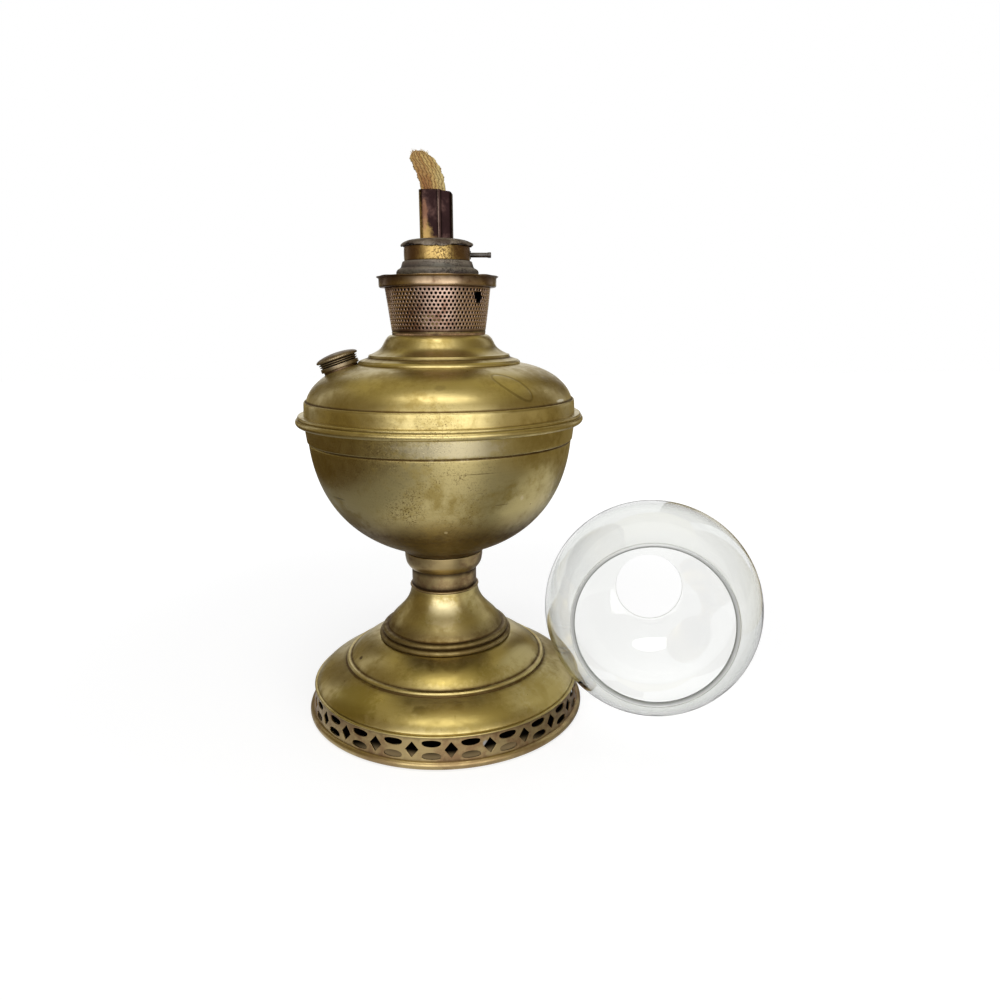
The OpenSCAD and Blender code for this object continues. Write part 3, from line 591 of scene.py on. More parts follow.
cork = {"crumbScale": 900.0, "stainScale": 60.0, "stainRange": (0.45, 0.62), "pale": (0.36, 0.22, 0.11),
        "dark": (0.20, 0.11, 0.05), "stain": (0.08, 0.045, 0.02), "bump": 0.4, "depth": 0.3, "rough": 0.85}


def corkFinish():
    # cork crumbs: cell noise over a soft brown, darker oil stains
    material, tree, end = newMaterial("oilyCork")
    place = objectPlace(tree)
    crumbs = put(tree, "TexVoronoi", {"Vector": place, "Scale": cork["crumbScale"]}).outputs["Color"]
    grey = put(tree, "SeparateColor", {0: crumbs}).outputs[0]
    colour = mixColour(tree, grey, cork["pale"], cork["dark"])
    stain = ease(tree, noise(tree, place, cork["stainScale"]), *cork["stainRange"])
    colour = mixColour(tree, stain, colour, cork["stain"])
    coated(tree, end, {"Base Color": colour, "Roughness": cork["rough"],
                       "Normal": reliefOf(tree, cork["bump"], cork["depth"], grey)})
    return material


finishes["cork"] = corkFinish()
print("metal finishes ready")


# foot: rolled bead, pierced band, ledge under the dome

foot = {"radius": 94.0, "bead": 2.7, "beadFlat": 0.2, "bandFootZ": 5.0, "bandTopZ": 19.0,
        "stripZ": (3.4, 19.5), "bandFootR": 91.6, "bandTopR": 89.6, "patternR": 90.6, "repeats": 24,
        "startDeg": -6.4, "patternZ": 12.0, "lensLength": 11.7, "lensHeight": 4.2, "lensGap": 4.2,
        "lensCell": 13.9, "lensSides": (0.38, 0.62), "lensPower": 0.8, "diamond": (8.2, 9.6), "sheet": 1.0,
        "worn": 0.16, "ridge": 0.6, "ledgeR": 83.6, "ledge": 1.0, "top": 20.2, "grimeZ": (4.6, 19.3),
        "grimeOver": 0.7, "grime": 0.8}


def cellEdge(halfWide, halfTall, sideSteps, topSteps):
    # points round a rectangle, from the middle of its right side, counter-clockwise
    half = sideSteps // 2
    rise = halfTall * np.arange(half) / half
    fall = halfTall - 2 * halfTall * np.arange(sideSteps) / sideSteps
    walk = halfWide - 2 * halfWide * np.arange(topSteps) / topSteps
    runs = ((halfWide, rise), (walk, halfTall), (-halfWide, fall), (-walk, -halfTall),
            (halfWide, rise - halfTall))
    return np.concatenate([np.stack(np.broadcast_arrays(x, z), 1) for x, z in runs])


def polyRun(corners, counts):
    # straight runs between corners, each cut into equal steps
    sides = zip(corners, np.roll(corners, -1, 0), counts)
    return np.concatenate([a + (b - a) * (np.arange(n) / n)[:, None] for a, b, n in sides])


def cellSet(centres, hole, edge, shares):
    # flat cells: rings between a hole's outline and its cell's edge, the same for every centre
    rings = np.stack([hole + (edge - hole) * s for s in shares])
    verts = centres[:, None, None, :] + rings[None]
    one = gridFaces(len(shares), len(hole), False, True)[:, [0, 3, 2, 1]]
    return verts.reshape(-1, 2), copiedFaces(one, len(centres), len(shares) * len(hole))


def flatStrip(columns, lowZ, highZ, rows):
    # plain strip between two heights, through the given places along the band
    z = np.linspace(lowZ, highZ, rows)
    verts = np.stack(np.broadcast_arrays(columns[None, :], z[:, None]), -1).reshape(-1, 2)
    return verts, gridFaces(rows, len(columns))


def atHeight(along, z):
    # flat points at places along a band, all at one height
    return np.stack([along, np.full(len(along), z)], 1)


def footBandSet():
    # flat pattern (distance along the band, height) bent round a cone
    lowZ, highZ, meanR = foot["bandFootZ"], foot["bandTopZ"], foot["patternR"]
    pitch = 2 * np.pi / foot["repeats"] * meanR
    lensWide, halfTall = foot["lensCell"] / 2, (highZ - lowZ) / 4
    gemWide = (pitch - foot["lensCell"]) / 2
    lensAt = np.radians(foot["startDeg"]) * meanR + pitch * np.arange(foot["repeats"])
    sideSteps, lensSteps, gemSteps = 4, 12, 8
    shares = (0, 0.12, 0.5, 1)
    # lens: an oval from a cosine along the band and a power of the sine across it, flatter on its outer side
    count = sideSteps + lensSteps
    walk = np.pi * np.arange(2 * count) / count
    side = np.where(walk < np.pi, foot["lensSides"][0], -foot["lensSides"][1])
    across = foot["lensHeight"] * side * np.abs(np.sin(walk)) ** foot["lensPower"]
    lens = np.stack([foot["lensLength"] / 2 * np.cos(walk), across + foot["lensGap"] - halfTall], 1)
    edge = cellEdge(lensWide, halfTall, sideSteps, lensSteps)
    high, highFaces = cellSet(atHeight(lensAt, foot["patternZ"] + halfTall), lens, edge, shares)
    low = np.stack([high[:, 0], 2 * foot["patternZ"] - high[:, 1]], 1)
    # diamond
    wide, tall = foot["diamond"]
    corners = np.array([[wide / 2, 0], [0, tall / 2], [-wide / 2, 0], [0, -tall / 2]])
    gem = polyRun(corners, [sideSteps + gemSteps // 2] * 4)
    gemEdge = cellEdge(gemWide, 2 * halfTall, 2 * sideSteps, gemSteps)
    gems = cellSet(atHeight(lensAt + pitch / 2, foot["patternZ"]), gem, gemEdge, shares)
    # plain strips under and over the pattern, with the same places along the band
    lensColumns = np.linspace(-lensWide, lensWide, lensSteps + 1)[:-1]
    gemColumns = lensWide + np.linspace(0, 2 * gemWide, gemSteps + 1)[:-1]
    columns = (lensAt[:, None] + np.concatenate([lensColumns, gemColumns])).ravel()
    columns = np.r_[columns, columns[0] + pitch * foot["repeats"]]
    under = flatStrip(columns, foot["stripZ"][0], lowZ, 3)
    over = flatStrip(columns, highZ, foot["stripZ"][1], 2)
    flat, faces = joined((high, highFaces), (low, highFaces[:, ::-1]), gems, under, over)
    z = flat[:, 1]
    r = foot["bandFootR"] + (foot["bandTopR"] - foot["bandFootR"]) * ramp(z, lowZ, highZ - lowZ)
    fromEdge = np.minimum(z - foot["grimeZ"][0], foot["grimeZ"][1] - z)
    edgeGrime = np.clip(1 - fromEdge / foot["grimeOver"], 0, 1)
    return polar(flat[:, 0] / meanR - np.pi / 2, r, z), faces, edgeGrime * foot["grime"], np.zeros(len(z))


beadZ = foot["bead"] - foot["beadFlat"]
beadOpen = np.degrees(np.arcsin(beadZ / foot["bead"]))
beadCentre = (foot["radius"] - foot["bead"], beadZ)
beadLine = softOutline(arcOf(beadCentre, foot["bead"], -beadOpen, 180 + beadOpen, 40),
                       rounding=0.12, stepMax=1.2, turnMax=14, closed=True)
addPiece("footBead", turnedSet(beadLine, closed=True), "lamp", finishes["bandBrass"])
footBand = addPiece("footBand", footBandSet(), "lamp", finishes["bandBrass"], ["foot_ring"])
thicken(footBand, foot["sheet"], bevel=foot["worn"])
ledgeZ = foot["top"] - foot["ledge"]
ledgeLine = softOutline(
    arcOf((foot["bandTopR"], foot["top"] - foot["ridge"]), foot["ridge"], -90, 90),
    [(foot["ledgeR"], foot["top"]), (foot["ledgeR"], ledgeZ), (foot["bandTopR"] - 2 * foot["ridge"], ledgeZ)],
    rounding=0.1, turnMax=16, closed=True)
addPiece("footLedge", turnedSet(ledgeLine, closed=True), "lamp", finishes["brass"])
print("foot ready")


# base dome, stem and cup

base = {"footR": 88.6, "lowShape": (0.13, 0.42, 0.56, 0.75), "stepR": 68.0, "stepZ": 34.2, "step": 2.6,
        "stepIn": 3.2, "highShape": (0.27, 0.45, 0.59, 0.80), "stemR": 45.0, "holeR": 35.0, "wall": 1.0}
baseLow, baseHigh = heightsOf("base_dome")
domeLine = softOutline(
    bezier((base["footR"], baseLow), (base["stepR"], base["stepZ"]), base["lowShape"]),
    arcOf((base["stepR"] - base["step"] / 2, base["stepZ"] + base["step"] / 2), base["step"] / 2, -40, 120),
    bezier((base["stepR"] - base["stepIn"], base["stepZ"] + base["step"]), (base["stemR"], baseHigh),
           base["highShape"]), [(base["holeR"], baseHigh)], rounding=0.2)
baseDome = addPiece("baseDome", turnedSet(domeLine), "lamp", finishes["brass"], ["base_dome"])
thicken(baseDome, base["wall"])

stem = {"bead": 1.8, "beadR": (43.2, 41.0), "bellFoot": (39.2, 57.0), "neckR": 22.4, "holeR": 18.0,
        "shape": (0.18, 0.33, 0.90, 0.44), "wall": 1.0, "darkTo": 66.0, "darkOver": 6.0, "dark": 0.6}
stemLow, stemHigh = heightsOf("stem")
stemLine = softOutline(
    arcOf((stem["beadR"][0], stemLow + stem["bead"]), stem["bead"], -90, 80),
    arcOf((stem["beadR"][1], stemLow + 3 * stem["bead"]), stem["bead"], -60, 80),
    bezier(stem["bellFoot"], (stem["neckR"], stemHigh), stem["shape"]), [(stem["holeR"], stemHigh)],
    rounding=0.16)


def darkFoot(outline, piece):
    # darker towards the bottom: a share of the grime field that fades out upwards below a height
    share = np.clip((piece["darkTo"] - outline[0][:, 1]) / piece["darkOver"], 0, 1)
    return dirtied(outline, piece["dark"] * share)


stemBell = addPiece("stemBell", turnedSet(darkFoot(stemLine, stem)), "lamp", finishes["brass"],
                    ["stem"])
thicken(stemBell, stem["wall"])

cup = {"bead": 0.8, "beadH": 1.8, "tubeR": 21.7, "tubeFoot": [(-0.2, 0.3), (0.0, 0.9)], "cornerZ": 97.3,
       "flare": (0.9, 0.3), "shoulder": (25.7, 103.8), "shape": (0.42, 0.22, 0.93, 0.55), "topR": 26.0,
       "topRise": 1.5, "wall": 1.0}
cupLow, cupHigh = heightsOf("stem_cup")
cupLine = softOutline(
    [(stem["neckR"], cupLow)], arcOf((stem["neckR"], cupLow + cup["beadH"] / 2), cup["bead"], -90, 90),
    np.array(cup["tubeFoot"]) + [cup["tubeR"], cupLow + cup["beadH"]], [(cup["tubeR"], cup["cornerZ"])],
    bezier((cup["tubeR"] + cup["flare"][0], cup["cornerZ"] + cup["flare"][1]), cup["shoulder"], cup["shape"]),
    [(cup["topR"], cup["shoulder"][1] + cup["topRise"]), (cup["topR"] + 0.2, cupHigh - 0.5),
     (cup["topR"] - 0.5, cupHigh)], rounding=0.14)
stemCup = addPiece("stemCup", turnedSet(cupLine), "lamp", finishes["bandBrass"], ["stem_cup"])
thicken(stemCup, cup["wall"])
print("base and stem ready")


# oil font: bowl, seam bead, top dome and burner collar

bowl = {"holeR": 20.0, "cupR": 26.0, "foot": (33.0, 114.3), "groove": (84.3, 184.0),
        "shape": (0.49, 0.13, 0.93, 0.43), "wall": 1.0, "darkTo": 150.0, "darkOver": 22.0, "dark": 0.95,
        "band": [(83.75, 184.7), (85.2, 185.7), (86.1, 193.0), (86.4, 196.0), (86.4, 199.0)]}
bowlLow = heightsOf("font_bowl")[0]
bowlLine = softOutline([(bowl["holeR"], bowlLow), (bowl["cupR"], bowlLow)],
                       bezier(bowl["foot"], bowl["groove"], bowl["shape"], 40), bowl["band"], rounding=0.2)
# painted dark reflection: the bowl darkens towards its underside, where it mirrors the base
fontBowl = addPiece("fontBowl", turnedSet(darkFoot(bowlLine, bowl)), "lamp", finishes["brass"],
                    ["font_bowl"])
thicken(fontBowl, bowl["wall"])

seam = {"z": 199.0, "wallR": 86.2, "bead": (89.4, -0.8, 2.35), "roll": (89.2, 2.0, 1.15)}
beadR, beadUp, beadSize = seam["bead"]
rollR, rollUp, rollSize = seam["roll"]
seamLine = softOutline([(seam["wallR"], seam["z"] + beadUp - beadSize)],
                       arcOf((beadR, seam["z"] + beadUp), beadSize, -90, 62, 18),
                       arcOf((rollR, seam["z"] + rollUp), rollSize, -40, 100, 12),
                       [(seam["wallR"], seam["z"] + rollUp + rollSize)],
                       rounding=0.12, stepMax=1.4, turnMax=12, closed=True)
addPiece("seamBead", turnedSet(seamLine, closed=True), "lamp", finishes["brass"], ["seam_ring"])

topShell = {"band": [(86.4, 199.0), (86.4, 202.0), (86.05, 209.4), (85.8, 210.4), (85.35, 210.9),
                     (84.7, 210.0)], "edge": (84.35, 211.3), "shape": (0.11, 0.54, 0.53, 0.90),
            "shoulderR": 51.5, "ledgeR": 44.5, "wall": 1.0, "holeR": 10.4}
filler = {"place": (-62.5, 0.0, 230.007), "tiltDeg": 18.6039}
shoulderZ = heightsOf("font_top")[1]
fillerTilt = np.radians(filler["tiltDeg"])
fillerAxis = np.array([-np.sin(fillerTilt), 0, np.cos(fillerTilt)])
fillerSide = np.array([fillerAxis[2], 0, -fillerAxis[0]])
topLine = softOutline(
    topShell["band"], bezier(topShell["edge"], (topShell["shoulderR"], shoulderZ), topShell["shape"], 40),
    [(topShell["ledgeR"], shoulderZ)], rounding=0.16)


cutReach = 12.0  # how far a round cut goes along its axis, to each side


def cutRound(parts, centre, axis, radius):
    # drops the faces inside a round hole and pulls the points on its rim out to the radius
    verts, faces, grime, rub = parts
    rel = verts - np.array(centre)
    high = rel @ axis
    side = rel - high[:, None] * axis
    far = np.linalg.norm(side, axis=1)
    inside = (far < radius) & (np.abs(high) < cutReach)
    faces = faces[~inside[faces].all(1)]
    rim = np.zeros(len(verts), bool)
    rim[faces[inside[faces]]] = True
    pulled = verts + side * np.where(rim, radius / np.maximum(far, 1e-6) - 1, 0)[:, None]
    used = np.unique(faces)
    order = np.zeros(len(verts), int)
    order[used] = np.arange(len(used))
    return pulled[used], order[faces], grime[used], rub[used]


topSet = cutRound(turnedSet(topLine), filler["place"], fillerAxis, topShell["holeR"])
fontTop = addPiece("fontTop", topSet, "lamp", finishes["brass"], ["font_top"])
thicken(fontTop, topShell["wall"])

collar = {"steps": [(51.5, 0.0), (51.5, 1.2), (50.1, 2.4), (45.1, 4.0), (44.5, 5.8), (43.1, 6.1)],
          "waist": (36.0, 10.9), "flare": (0.57, 0.38, 0.86, 0.69), "topR": 30.0,
          "bulge": (0.25, 0.31, 0.42, 0.88), "bore": [(23.6, 0.0), (23.6, -7.0), (33.2, -8.4), (34.6, -8.6)],
          "inside": [(41.7, 4.7), (44.5, 0.0)]}
collarLow, collarTop = heightsOf("font_collar")
collarSteps, collarWaist, collarInside = (np.array(collar[key]) + [0, collarLow]
                                          for key in ("steps", "waist", "inside"))
collarLine = softOutline(
    collarSteps, bezier(collarSteps[-1], collarWaist, collar["flare"]),
    bezier(collarWaist, (collar["topR"], collarTop), collar["bulge"]),
    np.array(collar["bore"]) + [0, collarTop], collarInside, rounding=0.2, closed=True)
addPiece("fontCollar", turnedSet(collarLine, closed=True), "lamp", finishes["brass"],
         ["font_collar"])
print("font ready")


# filler cap: stepped rings under a knurled plate with a low dome

cap = {"bore": 11.06, "footZ": 0.5, "segments": 264, "domeZ": 10.3, "shape": (0.10, 0.45, 0.5, 1.0),
       "rings": [(12.0, 0.5), (12.3, 0.9), (12.3, 2.9), (11.1, 3.1), (11.1, 3.5), (12.2, 3.7), (12.3, 4.2),
                 (11.2, 4.4), (11.2, 4.8), (12.4, 5.0), (12.5, 5.5), (11.4, 5.7), (11.4, 6.1), (12.9, 6.3),
                 (13.3, 6.7), (13.3, 7.5), (12.8, 8.0)],
       "roofZ": 5.95, "teeth": 66, "tooth": 0.14, "toothZ": 7.1, "toothHalf": 0.6, "toothFromR": 12.7,
       "grooveR": 12.0, "grooveOver": 0.5, "grooveTopZ": 6.3, "ridgeOver": 0.25, "ridgeTopZ": 7.6}


def knurl(theta, r, z):
    # round the plate's edge the radius swings by a cosine with as many waves as teeth
    share = np.clip(1 - np.abs(z - cap["toothZ"]) / cap["toothHalf"], 0, 1) * (r > cap["toothFromR"])
    return r + share * cap["tooth"] * np.cos(cap["teeth"] * theta), z


capLine = softOutline(cap["rings"], bezier(cap["rings"][-1], (0, cap["domeZ"]), cap["shape"]),
                      rounding=0.12, stepMax=1.2, turnMax=14)[0]
capProud, capZ = capLine[:, 0] - cap["grooveR"], capLine[:, 1]
capGroove = np.clip(-capProud / cap["grooveOver"], 0, 1) * (capZ < cap["grooveTopZ"])
capRidge = np.clip(capProud / cap["ridgeOver"], 0, 1) * (capZ < cap["ridgeTopZ"])
capInner = softOutline([(0, cap["roofZ"]), (cap["bore"], cap["roofZ"]), (cap["bore"], cap["footZ"]),
                        cap["rings"][0]], rounding=0.08, stepMax=3, turnMax=18)
capSet = joined(turnedSet(capInner, cap["segments"]),
                turnedSet((capLine, capGroove, capRidge), cap["segments"], relief=knurl))
addPiece("fillerCap", placed(capSet, filler["place"], fillerSide, fillerAxis), "cap",
         finishes["capBrass"], ["filler_cap"])
print("filler cap ready")


# burner: perforated basket, gallery rim, skirt, bright drum and crown

basket = {"footR": 29.6, "hemR": 29.9, "hemZ": 2.9, "topR": 33.0, "patternR": 31.5, "holes": 78, "rows": 11,
          "firstRow": 2.5, "rowStep": 2.22, "hole": 0.86, "sheet": 0.45, "curl": 0.35, "curlOver": 0.7,
          "buckle": 0.12, "tearDeg": 49.5, "tearUp": 20.6, "tear": (3.7, 3.3), "ragged": 0.12,
          "tearBend": 0.7, "tearFade": 2.2, "footGrime": 0.7, "topGrime": 0.5}
basketLow, basketTop = heightsOf("draft_basket")


def tearDistance(flat):
    # distance of flat points from the tear's centre, the short way round, in shares of its half sizes
    whole = 2 * np.pi * basket["patternR"]
    along = flat[:, 0] - np.radians(basket["tearDeg"]) * basket["patternR"]
    along = (along + whole / 2) % whole - whole / 2
    up = flat[:, 1] - basketLow - basket["tearUp"]
    return np.hypot(along / basket["tear"][0], up / basket["tear"][1])


def basketSet():
    # staggered cells with a round hole each, plain strips above and below, bent round a cone; the cells
    # inside a ragged oval are left out as a tear
    tall = basketTop - basketLow
    holes, rows, rowStep = basket["holes"], basket["rows"], basket["rowStep"]
    pitch = 2 * np.pi / holes * basket["patternR"]
    sideSteps, topSteps = 2, 4
    edge = cellEdge(pitch / 2, rowStep / 2, sideSteps, topSteps)
    angle = np.arctan2(edge[:, 1] / rowStep, edge[:, 0] / pitch)
    hole = basket["hole"] * np.stack([np.cos(angle), np.sin(angle)], 1)
    row, column = np.meshgrid(np.arange(rows), np.arange(holes), indexing="ij")
    firstZ = basketLow + basket["firstRow"]
    centres = np.stack([((column + 0.5 * (row % 2)) * pitch).ravel(), (firstZ + row * rowStep).ravel()], 1)
    centres = centres[tearDistance(centres) > 1 + basket["ragged"] * rng.standard_normal(len(centres))]
    columns = np.arange(holes * topSteps + 1) * pitch / topSteps
    flat, faces = joined(cellSet(centres, hole, edge, (0, 0.45, 1)),
                         flatStrip(columns, basketLow, firstZ - rowStep / 2, 4),
                         flatStrip(columns, firstZ + (rows - 0.5) * rowStep, basketTop, 2))
    theta = flat[:, 0] / basket["patternR"] - np.pi / 2
    up = flat[:, 1] - basketLow
    r = np.interp(up, [0, basket["hemZ"], tall], [basket["footR"], basket["hemR"], basket["topR"]])
    r = r - basket["curl"] * np.exp(-up / basket["curlOver"])
    r = r + basket["buckle"] * np.cos(5 * theta + 1.0) * np.sin(up / 7)
    # the metal round the tear is bent in by uneven amounts
    close = np.exp(-(tearDistance(flat) - 1).clip(0) * basket["tearFade"])
    r = r - basket["tearBend"] * close * np.sin(flat[:, 0] * 3.1 + up * 2.3) ** 2
    grime = np.clip(1.1 - up / 2.5, 0, 1) * basket["footGrime"] + basket["topGrime"] * ramp(up, tall - 2, 2)
    return polar(theta, r, flat[:, 1]), faces, np.clip(grime, 0, 1), np.zeros(len(flat))


draftBasket = addPiece("draftBasket", basketSet(), "burner", finishes["copper"],
                       ["draft_basket"])
draftBasket.data.materials.append(finishes["soot"])
thicken(draftBasket, basket["sheet"], inside=1)

# painted shade: a near black sheet behind the holes, with lint low in front, open at the tear
lining = {"behind": 0.85, "foot": 1.2, "top": 0.4, "sheet": 0.15, "segments": 300, "tearR": 3.2,
          "tearAtR": 31.0, "lintAt": (-4.0, -29.0, 259.0), "lintReach": (9.0, 7.0, 6.0), "edgeScale": 420.0,
          "tuftScale": 300.0, "tufts": (0.46, 0.56), "soot": (0.008, 0.005, 0.004),
          "lint": (0.26, 0.19, 0.08), "rough": 0.85, "shine": 0.15}
liningLine = softOutline([(basket["footR"] - lining["behind"], basketLow + lining["foot"]),
                          (basket["hemR"] - lining["behind"], basketLow + basket["hemZ"]),
                          (basket["topR"] - lining["behind"], basketTop - lining["top"])], stepMax=1.2)
tearTurn = np.radians(basket["tearDeg"] - 90)
tearOut = np.array([np.cos(tearTurn), np.sin(tearTurn), 0])
tearAt = tearOut * lining["tearAtR"] + [0, 0, basketLow + basket["tearUp"]]


def lintFinish():
    # near black painted shade with olive gold lint low in front
    material, tree, end = newMaterial("shadeSheetAndLint")
    place = objectPlace(tree)
    fuzz = minus(tree, noise(tree, place, lining["edgeScale"], 2.0), 0.5)
    near = spotShare(tree, place, fuzz, lining["lintAt"], lining["lintReach"])
    tufts = ease(tree, noise(tree, place, lining["tuftScale"], 1.0), *lining["tufts"])
    colour = mixColour(tree, times(tree, near, tufts), lining["soot"], lining["lint"])
    coated(tree, end, {"Base Color": colour, "Roughness": lining["rough"],
                       "Specular IOR Level": lining["shine"]})
    return material


liningSet = cutRound(turnedSet(liningLine, lining["segments"]), tearAt, tearOut, lining["tearR"])
basketLining = addPiece("basketLining", liningSet, "burner", lintFinish())
thicken(basketLining, lining["sheet"])

rim = {"innerR": 31.2, "bandR": 36.6, "round": 1.1, "lipUp": 1.5, "lipR": 38.0, "sheet": 0.8,
       "lip": [(-0.3, -0.6), (0.0, -0.3), (-0.1, 0.0), (-0.6, -0.05)], "waveFrom": 1.2, "waveOver": 1.0,
       "waves": [(0.14, 7, 0.3), (0.1, 17, 1.2)], "sag": 0.2}
rimLow, rimTop = heightsOf("gallery_rim")
rimRound, rimInside = rim["bandR"] - rim["round"], rim["bandR"] - rim["sheet"]
rimLine = softOutline(
    [(rim["innerR"], rimLow), (rimRound, rimLow)],
    arcOf((rimRound, rimLow + rim["round"]), rim["round"], -90, 0, 8),
    [(rim["bandR"], rimTop - rim["lipUp"])], np.array(rim["lip"]) + [rim["lipR"], rimTop],
    [(rimInside, rimTop - rim["lipUp"]), (rimInside, rimLow + rim["sheet"]),
     (rim["innerR"], rimLow + rim["sheet"])],
    rounding=0.12, turnMax=14, closed=True)


def rimWave(theta, r, z):
    # the thin lip rises and falls by two slow waves
    lip = ramp(z, rimTop - rim["waveFrom"], rim["waveOver"])
    return r, z + lip * (waves(theta, rim["waves"]) - rim["sag"])


addPiece("galleryRim", turnedSet(rimLine, closed=True, relief=rimWave), "burner",
         finishes["rimBrass"], ["gallery_rim"])

skirt = {"footR": 26.2, "knee": 9.0, "top": [(21.55, -0.3), (21.0, 0.0), (18.9, 0.0)], "wall": 0.8,
         "roll": [(24.5, -3.7), (25.2, -3.1), (25.45, -1.7), (25.2, -0.5), (24.3, 0.35), (23.1, 0.9),
                  (22.5, 1.7)],
         "lumpsAt": -1.6, "lumpsOver": 1.9, "lift": 0.25, "grimeAt": -2.0, "grimeOver": 1.8, "grime": 0.55}
skirtLow, skirtTop = heightsOf("burner_skirt")
kneeZ = skirtLow + skirt["knee"]


def roughEdge(theta, r, z):
    # the rolled edge is lumpy: waves of a few tenths of a millimetre round it and over its height
    near = bellCurve(z - kneeZ - skirt["lumpsAt"], skirt["lumpsOver"])
    lumps = waves(theta, [(0.14, 9, 0.4), (0.16, 23, 1.9 + z), (0.12, 37, -1.7 * z), (0.08, 61, 2.3 * z)])
    return r + near * lumps, z + skirt["lift"] * near * np.sin(13 * theta + 1.0)


skirtLine = softOutline([(skirt["footR"], skirtLow)], np.array(skirt["roll"]) + [0, kneeZ],
                        np.array(skirt["top"]) + [0, skirtTop], rounding=0.22, stepMax=0.8)
skirtRoll = bellCurve(skirtLine[0][:, 1] - kneeZ - skirt["grimeAt"], skirt["grimeOver"])
skirtLine = dirtied(skirtLine, skirt["grime"] * skirtRoll)
burnerSkirt = addPiece("burnerSkirt", turnedSet(skirtLine, relief=roughEdge), "burner",
                       finishes["oxide"], ["burner_skirt"])
thicken(burnerSkirt, skirt["wall"])

drum = {"radius": 20.5, "belly": 0.18, "edge": 0.65, "edgeUp": 0.3, "wall": 0.8}
drumLow, drumTop = heightsOf("burner_drum")
drumUp = np.linspace(0, 1, 15)
drumSide = np.stack([drum["radius"] - drum["belly"] + drum["belly"] * np.sin(np.pi * drumUp),
                     drumLow + drum["edgeUp"] + (drumTop - drumLow - 2 * drum["edgeUp"]) * drumUp], 1)
drumEnds = [[(drum["radius"] - drum["edge"], z)] for z in (drumLow, drumTop)]
drumLine = softOutline(drumEnds[0], drumSide, drumEnds[1], rounding=0.14, stepMax=1.2)
burnerDrum = addPiece("burnerDrum", turnedSet(drumLine), "burner", finishes["drum"],
                      ["burner_drum"])
thicken(burnerDrum, drum["wall"])

tube = {"wide": 20.6, "deep": 6.4, "wall": 0.6, "seam": (1.0, 2.9), "seamEdge": 0.12, "lap": 0.32,
        "topZone": 4.0, "rightStep": 0.5, "stepOver": 0.3, "rightDrop": 0.9, "dropOver": 7.0,
        "rightCorner": 1.4, "cornerX": 8.3, "cornerOver": 2.0, "bulge": 0.012, "windowsX": (-5.049, 2.701),
        "windowWide": 2.2, "windowZ": (295.54, 302.86), "seamGrime": 0.7, "seamFade": 0.4, "lapRubAndHighlight": 0.9,
        "topRub": 0.5, "topRubOver": 0.7}
crown = {"lipR": 22.4, "lip": 0.8, "flatR": 11.5, "shape": (0.06, 0.50, 0.40, 0.95), "wall": 0.7, "sink": 1.9,
         "lipFromR": 17.0, "wave": 0.3, "waveOut": 0.15, "frontDip": 1.5, "frontOver": 0.55, "tubeGap": 0.1,
         "tubeOver": 1.6, "waves": [(1, 5, 0.5), (0.8, 8, 2.2), (0.7, 15, 0.6), (0.4, 27, 0), (0.35, 44, 1.1),
                                    (0.25, 67, 2.0)]}
crownLow, crownTop = heightsOf("burner_crown")
crownTop -= crown["sink"]


def flatOval(theta, wide, deep):
    # ray from the centre at each angle to a bar's outline with round ends
    half, end = (wide - deep) / 2, deep / 2
    c, s = np.cos(theta), np.sin(theta)
    side = end / np.maximum(np.abs(s), 1e-9)
    reach = np.abs(c) * half + np.sqrt(np.maximum(end ** 2 - (half * s) ** 2, 0))
    return np.where(np.abs(side * c) <= half, side, reach)


def crownShape(theta, r, z):
    # the lip waves up and down and dips in front; the flat top runs in to the wick tube's outline
    lip = ramp(r, crown["lipFromR"], crown["lipR"] - crown["lipFromR"]) ** 2
    front = bellCurve((theta - 1.5 * np.pi + np.pi) % (2 * np.pi) - np.pi, crown["frontOver"])
    wave = crown["wave"] * waves(theta, crown["waves"])
    inner = ramp(-r, -crown["flatR"], crown["tubeOver"])
    oval = flatOval(theta, tube["wide"] + crown["tubeGap"], tube["deep"] + crown["tubeGap"])
    out = r * (1 - inner) + oval * inner + crown["waveOut"] * lip * wave
    return out, z + lip * (wave - crown["frontDip"] * front)


crownLine = softOutline(
    [(crown["lipR"] - 0.9, crownLow + 0.1), (crown["lipR"], crownLow + crown["lip"] - 0.3)],
    bezier((crown["lipR"], crownLow + crown["lip"]), (crown["flatR"] + 0.6, crownTop), crown["shape"]),
    [(crown["flatR"] - 1.7, crownTop)], rounding=0.14, stepMax=1.0)
burnerCrown = addPiece("burnerCrown", turnedSet(crownLine, relief=crownShape), "burner",
                       finishes["crown"], ["burner_crown"])
thicken(burnerCrown, crown["wall"])
print("burner shell ready")


# wick tube: one folded sheet with a lapped front seam, windows for the toothed wheels at the back

